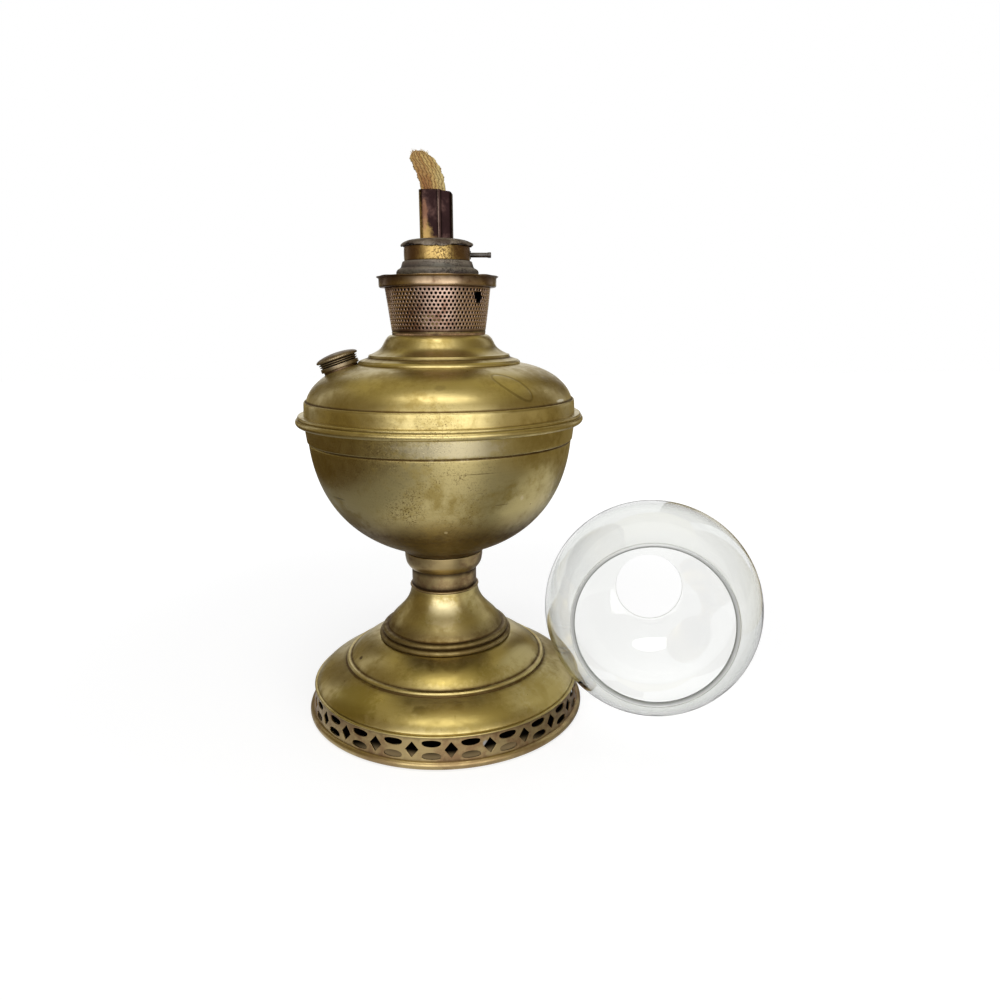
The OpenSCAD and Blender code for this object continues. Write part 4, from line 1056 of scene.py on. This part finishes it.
def tubeSet():
    # outline of a bar with round ends, walked from the back, swept up; the lap stands proud in front
    low, high = heightsOf("wick_tube")
    half, end = (tube["wide"] - tube["deep"]) / 2, tube["deep"] / 2
    seamLeft, seamRight = tube["seam"]
    slip = tube["seamEdge"]
    windowsX, windowHalf = np.array(tube["windowsX"]), tube["windowWide"] / 2
    windowLow, windowHigh = tube["windowZ"]
    stops = np.r_[half, np.sort(np.r_[windowsX - windowHalf, windowsX + windowHalf])[::-1], -half]
    backX = np.concatenate([np.linspace(a, b, 5)[:-1] for a, b in zip(stops[:-1], stops[1:])])
    lapX = np.r_[np.linspace(-half, seamLeft - slip, 16), seamLeft + slip,
                 np.linspace(seamLeft, seamRight, 6)[1:-1], seamRight - slip,
                 np.linspace(seamRight + slip, half, 12)[:-1]]
    front = atHeight(lapX, -end)
    front[:, 1] -= tube["lap"] * ((lapX > seamLeft) & (lapX < seamRight))
    line = np.concatenate([atHeight(backX, end), arcOf((-half, 0), end, 90, 270, 24)[:-1], front,
                           arcOf((half, 0), end, -90, 90, 24)[:-1]])
    topFrom = high - tube["topZone"]
    z = np.r_[np.linspace(low, windowLow, 12)[:-1], np.linspace(windowLow, windowHigh, 5)[:-1],
              np.linspace(windowHigh, topFrom, 10)[:-1], np.linspace(topFrom, high, 9)]
    x, y, z = np.broadcast_arrays(line[None, :, 0], line[None, :, 1], z[:, None])
    # the right half's top is lower and its corner is rounded off
    drop = tube["rightStep"] * ramp(x, seamRight, tube["stepOver"])
    drop = drop + tube["rightDrop"] * ramp(x, seamRight, tube["dropOver"])
    drop = drop + tube["rightCorner"] * ramp(x, tube["cornerX"], tube["cornerOver"]) ** 2
    bulge = 1 + tube["bulge"] * np.sin(z / 9.0) * np.sin(x / 4)
    verts = np.stack([x, y * bulge, z - drop * ramp(z, topFrom, tube["topZone"])], -1).reshape(-1, 3)
    faces = gridFaces(len(z), len(line), False, True)
    # the faces in the two windows at the back are left out
    mid = verts[faces].mean(1)
    inWindow = (mid[:, 1] > end - 0.3) & (mid[:, 2] > windowLow) & (mid[:, 2] < windowHigh)
    inWindow &= np.abs(mid[:, :1] - windowsX).min(1) < windowHalf
    besideSeam = np.minimum(np.abs(x - seamLeft), np.abs(x - seamRight))
    grime = tube["seamGrime"] * np.exp(-besideSeam / tube["seamFade"]) * (y < 0)
    # the lap is rubbed clean, which also stands as a painted highlight along it
    onLap = (x > seamLeft) & (x < seamRight) & (y < 0)
    topRub = tube["topRub"] * ramp(z, high - tube["topRubOver"], tube["topRubOver"])
    return verts, faces[~inWindow], grime.ravel(), np.maximum(topRub, tube["lapRubAndHighlight"] * onLap).ravel()


wickTube = addPiece("wickTube", tubeSet(), "burner", finishes["tube"], ["wick_tube"])
thicken(wickTube, tube["wall"])


# spindle that feeds the wick, with a plain blunt end

shaft = {"radius": 1.5, "endR": 1.72, "end": 2.4, "endRise": 0.4, "segments": 40}
shaftLow, shaftHigh = spanOf("wick_spindle")
shaftEnd = shaftHigh[0] - shaft["end"]
shaftLine = softOutline([(0, shaftLow[0]), (shaft["radius"], shaftLow[0]), (shaft["radius"], shaftEnd),
                         (shaft["endR"], shaftEnd + shaft["endRise"]), (shaft["endR"], shaftHigh[0]),
                         (0, shaftHigh[0])], rounding=0.1, stepMax=4, turnMax=16)
shaftMid = (shaftLow + shaftHigh) / 2 * [0, 1, 1]
shaftSet = placed(turnedSet(shaftLine, shaft["segments"]), shaftMid, (0, 1, 0), (1, 0, 0))
addPiece("wickShaft", shaftSet, "spindle", finishes["steel"], ["wick_spindle"])
print("tube and spindle ready")


# wick: a flat woven tape that leans to the left over the tube's mouth

wick = {"left": [(-8.7, 143.7), (-8.7, 330.0), (-8.75, 334.0), (-9.0, 336.5), (-9.55, 340.0), (-10.7, 344.0),
                 (-12.4, 348.0), (-14.2, 351.8), (-15.1, 354.6), (-14.8, 356.3), (-13.0, 357.7),
                 (-10.2, 358.4)],
        "right": [(6.4, 143.7), (6.4, 330.0), (6.3, 334.0), (6.1, 336.5), (5.7, 340.2), (4.9, 344.4),
                  (3.5, 348.4), (1.2, 352.2), (-1.4, 354.9), (-3.9, 356.6), (-6.4, 357.8), (-9.2, 358.4)],
        "rows": [0, 6, 10, 16, 24, 34, 44, 54, 62, 70, 78, 84], "steps": 240, "straightTo": 2, "blur": 5,
        "around": 260, "corner": 0.42, "halfWide": 7.75, "halfDeep": 1.5, "thick": 1.42, "closing": 0.035,
        "ribs": 8, "rib": 0.5, "ribMid": 0.7, "weave": 0.04, "coarse": 0.07, "fullThick": 1.2, "lean": 0.5,
        "leanFrom": 190, "leanOver": 25, "ragged": [(0.34, 1.1, 0.8), (0.16, 3.7, 1)], "raggedFrom": 195,
        "raggedOver": 4, "tipFrom": 0.86, "tipAside": 0.25, "tipUp": 0.5}


def wickPath():
    # left and right edge of the tape, eased through their points, at evenly numbered rows
    keys = np.array(wick["rows"], float)
    t = np.linspace(0, keys[-1], wick["steps"])
    straight = (t < keys[wick["straightTo"]])[:, None]
    edges = []
    for points in (np.array(wick["left"]), np.array(wick["right"])):
        edge = np.stack([np.interp(t, keys, points[:, k]) for k in (0, 1)], 1)
        edges.append(np.where(straight, edge, blurRows(edge, wick["blur"])))
    return *edges, t / keys[-1]


def wickSet():
    # rounded flat section carried up between the two edges; wavy ribs run along it, with a fine cross weave
    left, right, t = wickPath()
    fine = np.linspace(0, 2 * np.pi, 4000, endpoint=False)
    x, y = (np.sign(part) * np.abs(part) ** wick["corner"] for part in (np.cos(fine), np.sin(fine)))
    walk = np.r_[0, np.cumsum(np.hypot(np.diff(x) * wick["halfWide"], np.diff(y) * wick["halfDeep"]))]
    around = wick["around"]
    pick = np.linspace(0, walk[-1], around, endpoint=False)
    x, y = np.interp(pick, walk, x)[None], np.interp(pick, walk, y)[None]
    mid, half = (left + right) / 2, (right - left) / 2
    along = np.r_[0, np.cumsum(np.linalg.norm(np.diff(mid, axis=0), axis=1))][:, None]
    thick = wick["thick"] * ramp(1 - t, 0, wick["closing"])[:, None] ** 0.5
    wave = wick["ribs"] * np.pi * x + waves(along, [(1.0, 1.3, 6 * x), (1.3, 0.45, 1.0 + 3 * x)])
    ridge = np.abs(np.sin(wave / 2))
    lift = ridge - wick["ribMid"]
    weave = waves(along, [(wick["weave"], 6.5, wave), (wick["coarse"], 2.6, 5 * x)])
    face = np.clip(np.abs(y) * 1.4, 0, 1)
    raised = (wick["rib"] * lift + weave) * face * ramp(thick, 0, wick["fullThick"])
    depth = np.sign(y) * (np.abs(y) * thick + raised)
    lean = wick["lean"] * ramp(along, wick["leanFrom"], wick["leanOver"]) ** 2
    # both edges are ragged above the tube, and the ribs end unevenly at the tip
    above = ramp(along, wick["raggedFrom"], wick["raggedOver"])
    reach = x + np.sign(x) * np.abs(x) ** 8 * waves(along, wick["ragged"]) / wick["halfWide"] * above
    tip = ramp(t, wick["tipFrom"], 1 - wick["tipFrom"])[:, None] * lift
    verts = np.stack([mid[:, :1] + half[:, :1] * reach - wick["tipAside"] * tip, depth - lean,
                      mid[:, 1:] + half[:, 1:] * reach + wick["tipUp"] * tip], -1).reshape(-1, 3)
    # the two ends are closed by strips between the front and the back
    strip = np.arange(around // 2 - 1)
    ends = np.stack([strip, strip + 1, around - 2 - strip, around - 1 - strip], 1)
    sides = gridFaces(len(t), around, False, True)
    faces = np.concatenate([sides, (len(t) - 1) * around + ends, ends[:, ::-1]])
    # painted shade in the grooves between the ribs, carried in the grime field
    groove = np.clip(1 - ridge * 1.6, 0, 1) * face
    strand = 0.5 + 0.5 * np.sin(np.floor(wave / (2 * np.pi)) * 2.4 + 0.7)
    return verts, faces, groove.ravel(), strand.ravel()


threads = {"many": 110, "steps": 6, "sides": 5, "fromRow": 200, "across": (0.3, 1.0), "edgeward": 0.3,
           "inset": 0.96, "deep": (-1.2, 0.9), "outX": (0.2, 1.0), "outY": (-0.6, 0.4), "outZ": (0.1, 0.9),
           "bow": 0.3, "length": (0.7, 1.7), "rootR": 0.13, "tipR": 0.04, "sideFrom": (0.31, 0.22, 0.92)}


def threadSet():
    # loose threads at the frayed tip and edges: short bent tubes with few sides, thinner towards their ends
    left, right, t = wickPath()
    many, steps, sides = threads["many"], threads["steps"], threads["sides"]
    at = rng.integers(threads["fromRow"], len(t) - 2, many)
    across = np.sign(rng.uniform(-1, 1, many)) * rng.uniform(*threads["across"], many) ** threads["edgeward"]
    start = (left + right)[at] / 2 + (right - left)[at] / 2 * across[:, None] * threads["inset"]
    root = np.stack([start[:, 0], rng.uniform(*threads["deep"], many), start[:, 1]], 1)
    outX = across * rng.uniform(*threads["outX"], many)
    out = np.stack([outX, rng.uniform(*threads["outY"], many), rng.uniform(*threads["outZ"], many)], 1)
    out /= np.linalg.norm(out, axis=1)[:, None]
    bow = rng.standard_normal((many, 3)) * threads["bow"]
    length = rng.uniform(*threads["length"], many)
    s = np.linspace(0, 1, steps)[:, None]
    path = root[:, None] + length[:, None, None] * (s * out[:, None] + s ** 2 * bow[:, None])
    side = np.cross(out, threads["sideFrom"])
    side /= np.linalg.norm(side, axis=1)[:, None]
    turn = np.arange(sides)[:, None] * 2 * np.pi / sides
    ring = np.cos(turn) * side[:, None] + np.sin(turn) * np.cross(out, side)[:, None]
    thin = threads["rootR"] + (threads["tipR"] - threads["rootR"]) * s[:, :, None]
    verts = (path[:, :, None] + thin * ring[:, None]).reshape(-1, 3)
    faces = copiedFaces(gridFaces(steps, sides, False, True), many, steps * sides)
    return verts, faces, np.zeros(len(verts)), np.ones(len(verts))


# a range is where it starts and ends, then the share at its start and at its end; places are in metres
cotton = {"fibreScale": 2300.0, "streakScale": 620.0, "softScale": 160.0, "mouthZ": 0.336, "lean": 0.36,
          "stretch": 0.2, "wobble": 0.006, "strand": 0.45, "streakTone": (0.36, 0.64, 0.0, 0.55),
          "fibreTone": (0.52, 0.74, 0.0, 0.6), "greyAcross": (0.0005, 0.006, 0.0, 0.55),
          "greyUp": (0.344, 0.353, 1.0, 0.3), "scorchX": 0.0042, "scorchAcross": (0.0015, 0.005, 1.0, 0.0),
          "scorchStreaks": (0.34, 0.50, 0.25, 1.0), "scorchUp": (0.338, 0.356, 1.0, 0.35),
          "scorchShare": 0.85, "grooveShare": 0.85, "brown": (0.38, 0.20, 0.048), "tan": (0.60, 0.435, 0.155),
          "pale": (0.80, 0.65, 0.35), "grey": (0.55, 0.46, 0.20), "scorch": (0.25, 0.085, 0.02),
          "groove": (0.13, 0.055, 0.012), "bump": 0.5, "bumpDepth": 0.2}


def cottonFinish():
    # tan cotton: ribs and fine threads, a scorched streak left of the middle, greyer to the right, painted
    # shade in the grooves between the ribs
    material, tree, end = newMaterial("wickCotton")
    place = objectPlace(tree)
    split = splitOf(tree, place)
    lean = plus(tree, split[0], times(tree, minus(tree, split[2], cotton["mouthZ"]), cotton["lean"]))
    up = times(tree, split[2], cotton["stretch"])
    along = put(tree, "CombineXYZ", {0: lean, 1: split[1], 2: up}).outputs[0]
    fibre = noise(tree, along, cotton["fibreScale"], 4.0, 0.7)
    streaks = noise(tree, along, cotton["streakScale"], 3.0, 0.6, 0.6)
    soft = noise(tree, place, cotton["softScale"], 4.0, 0.6)
    strand = times(tree, fieldOf(tree, "rub"), cotton["strand"])
    tone = plus(tree, strand, ease(tree, streaks, *cotton["streakTone"]))
    colour = mixColour(tree, tone, cotton["brown"], cotton["tan"])
    colour = mixColour(tree, ease(tree, fibre, *cotton["fibreTone"]), colour, cotton["pale"])
    wobble = times(tree, minus(tree, soft, 0.5), cotton["wobble"])
    grey = ease(tree, plus(tree, lean, wobble), *cotton["greyAcross"])
    grey = times(tree, grey, ease(tree, split[2], *cotton["greyUp"]))
    colour = mixColour(tree, grey, colour, cotton["grey"])
    # scorched streaks low on the left, thinning out towards the tip
    aside = calc(tree, "ABSOLUTE", plus(tree, plus(tree, lean, cotton["scorchX"]), wobble))
    scorch = ease(tree, aside, *cotton["scorchAcross"])
    scorch = times(tree, scorch, ease(tree, streaks, *cotton["scorchStreaks"]))
    scorch = times(tree, scorch, ease(tree, split[2], *cotton["scorchUp"]))
    colour = mixColour(tree, times(tree, scorch, cotton["scorchShare"]), colour, cotton["scorch"])
    # painted shade: the grooves between the ribs are darkened
    groove = times(tree, fieldOf(tree, "grime"), cotton["grooveShare"])
    colour = mixColour(tree, groove, colour, cotton["groove"])
    coated(tree, end, {"Base Color": colour, "Roughness": 0.9, "Sheen Weight": 0.25, "Sheen Roughness": 0.5,
                       "Normal": reliefOf(tree, cotton["bump"], cotton["bumpDepth"], fibre)})
    return material


finishes["cotton"] = cottonFinish()
wickCloth = addPiece("wickCloth", wickSet(), "wick", finishes["cotton"], ["wick"])
wickThreads = addPiece("wickThreads", threadSet(), "wick", finishes["cotton"])
for soft in (wickCloth, wickThreads):
    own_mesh(soft)
print("wick ready")


# glass globe: a ball with a wide fitter and a small vent, lying beside the foot

globe = {"radius": 71.5, "glass": 2.0, "fitterR": 50.0, "fitterL": 2.0, "lip": 1.0, "lipL": (1.0, 1.5),
         "ventR": 24.5, "rimFlat": 0.4, "rimEdgeShade": (0.35, 0.7), "rimDeep": 1.2, "ventDeep": 0.2, "skin": 0.15,
         "segments": 200, "arcSteps": 90, "bearingDeg": -9.5, "turnDeg": 14.0, "tiltDeg": -8.0}
outer = globe["radius"]
inner = outer - globe["glass"]
globeX = spanOf("glass_globe")[1][0] - outer
globeMid = np.array([globeX, globeX * np.tan(np.radians(globe["bearingDeg"])), outer])
fitterIn, lipR = globe["fitterR"] - globe["glass"], globe["fitterR"] + globe["lip"]
rimZ = -np.sqrt(outer ** 2 - globe["fitterR"] ** 2) - globe["fitterL"]
rimMid = (fitterIn + lipR) / 2


def ballAngle(radius, r):
    # degrees up from the ball's middle to where its surface is r from its axis; their cosine is r / radius
    return np.degrees(np.arccos(r / radius))


globeLine, globeGrime, _ = softOutline(
    [(fitterIn, rimZ), (rimMid - globe["rimFlat"], rimZ), (rimMid + globe["rimFlat"], rimZ), (lipR, rimZ),
     (lipR, rimZ + globe["lipL"][0]), (globe["fitterR"], rimZ + globe["lipL"][1])],
    arcOf((0, 0), outer, -ballAngle(outer, globe["fitterR"]), ballAngle(outer, globe["ventR"]),
          globe["arcSteps"]),
    arcOf((0, 0), inner, ballAngle(inner, globe["ventR"]), -ballAngle(inner, fitterIn), globe["arcSteps"]),
    rounding=0.55, stepMax=2.2, turnMax=11, closed=True)
# painted shade: the rims are pale in the middle and greyer at both edges
rimEdgeShade = ramp(np.abs(globeLine[:, 0] - rimMid), *globe["rimEdgeShade"])
turn, tilt = np.radians([globe["turnDeg"], globe["tiltDeg"]])
globeAxis = np.array([np.sin(turn) * np.cos(tilt), np.cos(turn) * np.cos(tilt), np.sin(tilt)])
globeSet = placed(turnedSet((globeLine, globeGrime, rimEdgeShade), globe["segments"], closed=True),
                  globeMid, (np.cos(turn), -np.sin(turn), 0), globeAxis)
glass = {"waveScale": 26.0, "wave": 0.06, "waveDepth": 2.0, "filmScale": 60.0, "film": (0.45, 0.7, 0.0, 0.05),
         "edge": (0.35, 1.0), "clear": (0.925, 0.93, 0.918), "paintedEdgeShade": (0.74, 0.755, 0.735),
         "deep": (0.52, 0.58, 0.54, 1), "density": 9.0, "rimPale": (1.0, 1.0, 0.985),
         "rimGrey": (0.52, 0.535, 0.49)}


def litThrough(tree, end, inputs):
    # principled glass that lets lamplight through: rays towards a lamp pass it
    body = put(tree, "BsdfPrincipled", inputs)
    clear = put(tree, "BsdfTransparent")
    path = put(tree, "LightPath")
    both = put(tree, "MixShader", {0: path.outputs["Is Shadow Ray"], 1: body.outputs[0], 2: clear.outputs[0]})
    tree.links.new(both.outputs[0], end.inputs["Surface"])


def glassFinish():
    # clear glass, with painted grey green shade where it is seen edge on
    material, tree, end = newMaterial("clearGlass")
    place = objectPlace(tree)
    relief = reliefOf(tree, glass["wave"], glass["waveDepth"], noise(tree, place, glass["waveScale"], 2.0))
    film = ease(tree, noise(tree, place, glass["filmScale"], 4.0), *glass["film"])
    # painted shade at the outline, where the glass is seen edge on
    edge = ease(tree, put(tree, "LayerWeight", {"Blend": 0.5}).outputs["Facing"], *glass["edge"])
    tint = mixColour(tree, edge, glass["clear"], glass["paintedEdgeShade"])
    litThrough(tree, end, {"Base Color": tint, "Roughness": film, "IOR": 1.5, "Transmission Weight": 1.0,
                           "Normal": relief})
    depth = put(tree, "VolumeAbsorption", {"Color": glass["deep"], "Density": glass["density"]})
    tree.links.new(depth.outputs[0], end.inputs["Volume"])
    return material


def rimFinish():
    # ground glass of both rims: pale grey, with painted shade greyer along the edges
    material, tree, end = newMaterial("groundGlass")
    tint = mixColour(tree, fieldOf(tree, "rub"), glass["rimPale"], glass["rimGrey"])
    litThrough(tree, end, {"Base Color": tint, "Roughness": 0.42, "IOR": 1.3, "Transmission Weight": 0.5})
    return material


glassGlobe = addPiece("glassGlobe", globeSet, "globe", glassFinish(), ["glass_globe"])
glassGlobe.data.materials.append(rimFinish())
# faces of the two rims: those near the outline's flat ends
fromMid = globeSet[0] - globeMid
alongAxis, fromCentre = fromMid @ globeAxis, np.linalg.norm(fromMid, axis=1)
ventZ = np.sqrt(inner ** 2 - globe["ventR"] ** 2)
atVent = (alongAxis > ventZ - globe["ventDeep"]) & (fromCentre < outer - globe["skin"])
atVent &= fromCentre > inner + globe["skin"]
onRim = (alongAxis < rimZ + globe["rimDeep"]) | atVent
glassGlobe.data.polygons.foreach_set("material_index", onRim[globeSet[1]].all(1).astype(np.int32))
print("globe ready")


# CAD nodes whose own shape is right keep it and get their finish

keptNodes = {"burner_floor": "darkBrass", "filler_neck": "capBrass", "air_plate": "copper",
             "tie_rod": "steel", "tie_washer": "steel", "tie_nut": "steel", "spindle_bushes": "steel",
             "wick_wheels": "steel", "filler_gasket": "cork", "collar_washer": "cork"}
for nodeName, finish in keptNodes.items():
    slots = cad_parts[nodeName].data.materials
    slots.clear()
    slots.append(finishes[finish])
print("kept nodes finished")


# stage: pale floor, soft light, dark cards that shape the reflections in the brass, and the camera;
# places are in metres, and a range is its start and end with the share at each

stage = {"floor": 6.0, "floorZ": -0.0004, "floorGrey": 0.38, "glowNear": 0.72,
         "glowAway": (0.2, 1.0, 0.0, 0.3), "footR": 0.089, "paintedShadeUnderFoot": (0.012, 0.009, 0.006),
         "insideGlow": (0.071, 0.079, 0.0, 0.17), "insideFront": (-0.07, -0.055, 1.0, 0.0),
         "insideTint": (1, 0.72, 0.36), "stripFrom": -0.15, "stripTurn": 0.4, "stripX": 0.03,
         "stripWiden": 2.2, "strip": (0.03, 0.15, 0.85, 0.05), "stripFront": (0.05, 0.15, 0.5, 0.0),
         "skyDiffuse": 0.45}


def flatCard(name, centre, normal, wide, tall, material):
    # rectangle that faces along its normal: centre plus or minus half its sides
    n = np.array(normal, float) / np.linalg.norm(normal)
    side = np.cross([0, 0, 1.0], n) if abs(n[2]) < 0.99 else np.array([1.0, 0, 0])
    side /= np.linalg.norm(side)
    up = np.cross(n, side)
    signs = ((-1, -1), (1, -1), (1, 1), (-1, 1))
    corners = [tuple(np.array(centre) + a * side * wide / 2 + b * up * tall / 2) for a, b in signs]
    mesh = bpy.data.meshes.new(name)
    mesh.from_pydata(corners, [], [(0, 1, 2, 3)])
    mesh.materials.append(material)
    card = linked(name, mesh)
    return card


def seenShare(tree):
    # one for rays from the camera, in glossy reflections and through glass
    path = put(tree, "LightPath").outputs
    direct = larger(tree, path["Is Camera Ray"], path["Is Glossy Ray"])
    return larger(tree, direct, path["Is Transmission Ray"])


def floorFinish():
    # matt floor that also glows where it is seen, more with the distance from the lamp, not under the foot;
    # under the foot it is painted near black as shade, with a painted warm glow just inside the front of the
    # foot
    material, tree, end = newMaterial("paleFloor")
    split = splitOf(tree, objectPlace(tree))
    radius = axisDistance(tree, split)
    outside = calc(tree, "GREATER_THAN", radius, stage["footR"])
    glow = times(tree, plus(tree, ease(tree, radius, *stage["glowAway"]), stage["glowNear"]), outside)
    # painted shade: the floor under the foot is near black
    grey = mixColour(tree, outside, stage["paintedShadeUnderFoot"], (stage["floorGrey"],) * 3)
    # painted light: a warm glow on the floor just inside the front of the foot
    inside = times(tree, ease(tree, radius, *stage["insideGlow"]), minus(tree, 1.0, outside))
    inside = times(tree, inside, ease(tree, split[1], *stage["insideFront"]))
    # reflections see a lit strip that widens and turns right towards the front
    before = larger(tree, minus(tree, stage["stripFrom"], split[1]), 0.0)
    shift = minus(tree, split[0], times(tree, before, stage["stripTurn"]))
    shift = calc(tree, "ABSOLUTE", plus(tree, shift, stage["stripX"]))
    shift = calc(tree, "DIVIDE", shift, plus(tree, times(tree, before, stage["stripWiden"]), 1.0))
    strip = ease(tree, shift, *stage["strip"])
    strip = plus(tree, strip, times(tree, before, ease(tree, shift, *stage["stripFront"])))
    path = put(tree, "LightPath").outputs
    seen = larger(tree, path["Is Camera Ray"], path["Is Transmission Ray"])
    seen = larger(tree, seen, times(tree, path["Is Glossy Ray"], strip))
    tint = mixColour(tree, outside, stage["insideTint"], (1, 1, 1))
    light = put(tree, "Emission", {"Color": tint, "Strength": times(tree, seen, plus(tree, glow, inside))})
    matt = put(tree, "BsdfDiffuse", {"Color": grey})
    both = put(tree, "AddShader", {0: matt.outputs[0], 1: light.outputs[0]})
    tree.links.new(both.outputs[0], end.inputs["Surface"])
    return material


def cardFinish(name, colour):
    # one even colour that is seen but lights nothing by itself
    material, tree, end = newMaterial(name)
    light = put(tree, "Emission", {"Color": colour + (1,), "Strength": 1.0})
    tree.links.new(light.outputs[0], end.inputs["Surface"])
    material.cycles.emission_sampling = "NONE"
    return material


flatCard("floor", (0, 0, stage["floorZ"]), (0, 0, 1), stage["floor"], stage["floor"], floorFinish())
# brown walls and a dim ceiling that only the reflections see, open in front and behind
cardColours = {"brownWall": (0.10, 0.064, 0.021), "tanWall": (0.33, 0.264, 0.105),
               "umberWall": (0.25, 0.196, 0.092), "paleWall": (0.60, 0.53, 0.37),
               "greyTable": (0.30, 0.240, 0.105), "whiteBoard": (1.23, 1.2, 1.16),
               "dimCeiling": (0.44, 0.385, 0.178), "paleCeiling": (0.60, 0.53, 0.255)}
cardFinishes = {name: cardFinish(name, colour) for name, colour in cardColours.items()}
# each card: centre, normal, width, height and colour
cards = {"wallLeftLow": ((-1.2, -0.42, 0.2), (1, 0, 0), 2.2, 0.4, "tanWall"),
         "wallLeft": ((-1.2, -0.42, 0.95), (1, 0, 0), 2.2, 1.1, "umberWall"),
         "wallRightFront": ((1.2, -0.76, 0.2), (-1, 0, 0), 1.52, 0.4, "paleWall"),
         "wallRightBack": ((1.2, 0.34, 0.2), (-1, 0, 0), 0.68, 0.4, "tanWall"),
         "wallRight": ((1.2, -0.42, 0.95), (-1, 0, 0), 2.2, 1.1, "umberWall"),
         "cornerLeftLow": ((-0.95, 1.3, 0.2), (0.6, -0.8, 0), 0.7, 0.4, "tanWall"),
         "cornerLeft": ((-0.95, 1.3, 0.95), (0.6, -0.8, 0), 0.7, 1.1, "brownWall"),
         "cornerRightLow": ((0.95, 1.3, 0.2), (-0.6, -0.8, 0), 0.7, 0.4, "tanWall"),
         "cornerRight": ((0.95, 1.3, 0.95), (-0.6, -0.8, 0), 0.7, 1.1, "brownWall"),
         "tableLeft": ((-0.82, -0.1, 0.0006), (0, 0, 1), 1.0, 2.4, "brownWall"),
         "tableRight": ((0.88, -0.1, 0.0006), (0, 0, 1), 1.0, 2.4, "greyTable"),
         "frontHigh": ((0.05, -1.3, 1.42), (0, 0.72, -0.69), 3.0, 1.0, "whiteBoard"),
         "ceilingFront": ((0, -0.425, 1.5), (0, 0, -1), 2.4, 1.45, "dimCeiling"),
         "ceilingBack": ((0, 0.875, 1.5), (0, 0, -1), 2.4, 1.15, "paleCeiling")}
for cardName, (*layout, colourName) in cards.items():
    card = flatCard(cardName, *layout, cardFinishes[colourName])
    card.visible_camera = card.visible_diffuse = card.visible_shadow = card.visible_transmission = False

world = bpy.data.worlds.new("paleRoom")
world.use_nodes = True
bpy.context.scene.world = world
sky = world.node_tree
sky.nodes.clear()
strength = put(sky, "MapRange", {0: seenShare(sky), 1: 0.0, 2: 1.0, 3: stage["skyDiffuse"], 4: 1.0})
light = put(sky, "Background", {"Color": (1, 1, 1, 1), "Strength": strength.outputs[0]})
sky.links.new(light.outputs[0], put(sky, "OutputWorld").inputs["Surface"])


def posed(side, up, ahead, place):
    # matrix of a thing that looks ahead: its columns are side, up, minus ahead and its place
    return Matrix([*np.stack([side, up, -ahead, place], 1).tolist(), [0, 0, 0, 1]])


def softLamp(name, place, aim, size, power, shape):
    # flat lamp that faces its aim: ahead is the way to the aim, side is level
    data = bpy.data.lights.new(name, "AREA")
    data.shape = shape
    data.size, data.size_y = size
    data.energy = power
    ahead = np.array(aim, float) - np.array(place, float)
    ahead /= np.linalg.norm(ahead)
    side = np.cross(ahead, [0, 0, 1.0])
    side /= np.linalg.norm(side)
    linked(name, data).matrix_world = posed(side, np.cross(side, ahead), ahead, place)


# each lamp: place, aim, width and height, power and shape
lamps = {"keyLamp": ((-0.05, -1.35, 0.42), (0, 0, 0.17), (2.3, 0.8), 12, "RECTANGLE"),
         "topLamp": ((-0.05, -0.5, 1.3), (0, -0.05, 0.1), (1.0, 0.4), 4, "ELLIPSE")}
for lampName, lamp in lamps.items():
    softLamp(lampName, *lamp)

view = {"place": (0.0, -0.495, 0.260), "yawDeg": 4.43, "pitchDeg": 13.4, "rollDeg": -0.28, "lens": 27.36,
        "sensor": 36}
yaw, pitch, roll = np.radians([view["yawDeg"], view["pitchDeg"], view["rollDeg"]])
ahead = np.array([np.sin(yaw) * np.cos(pitch), np.cos(yaw) * np.cos(pitch), -np.sin(pitch)])
side = np.array([np.cos(yaw), -np.sin(yaw), 0])
up = np.cross(side, ahead)
side, up = np.cos(roll) * side + np.sin(roll) * up, np.cos(roll) * up - np.sin(roll) * side
cameraData = bpy.data.cameras.new("camera")
cameraData.lens = view["lens"]
cameraData.sensor_width = view["sensor"]
camera = linked("camera", cameraData)
camera.matrix_world = posed(side, up, ahead, view["place"])
bpy.context.scene.camera = camera
bpy.context.scene.view_settings.view_transform = "Standard"
print("stage ready")
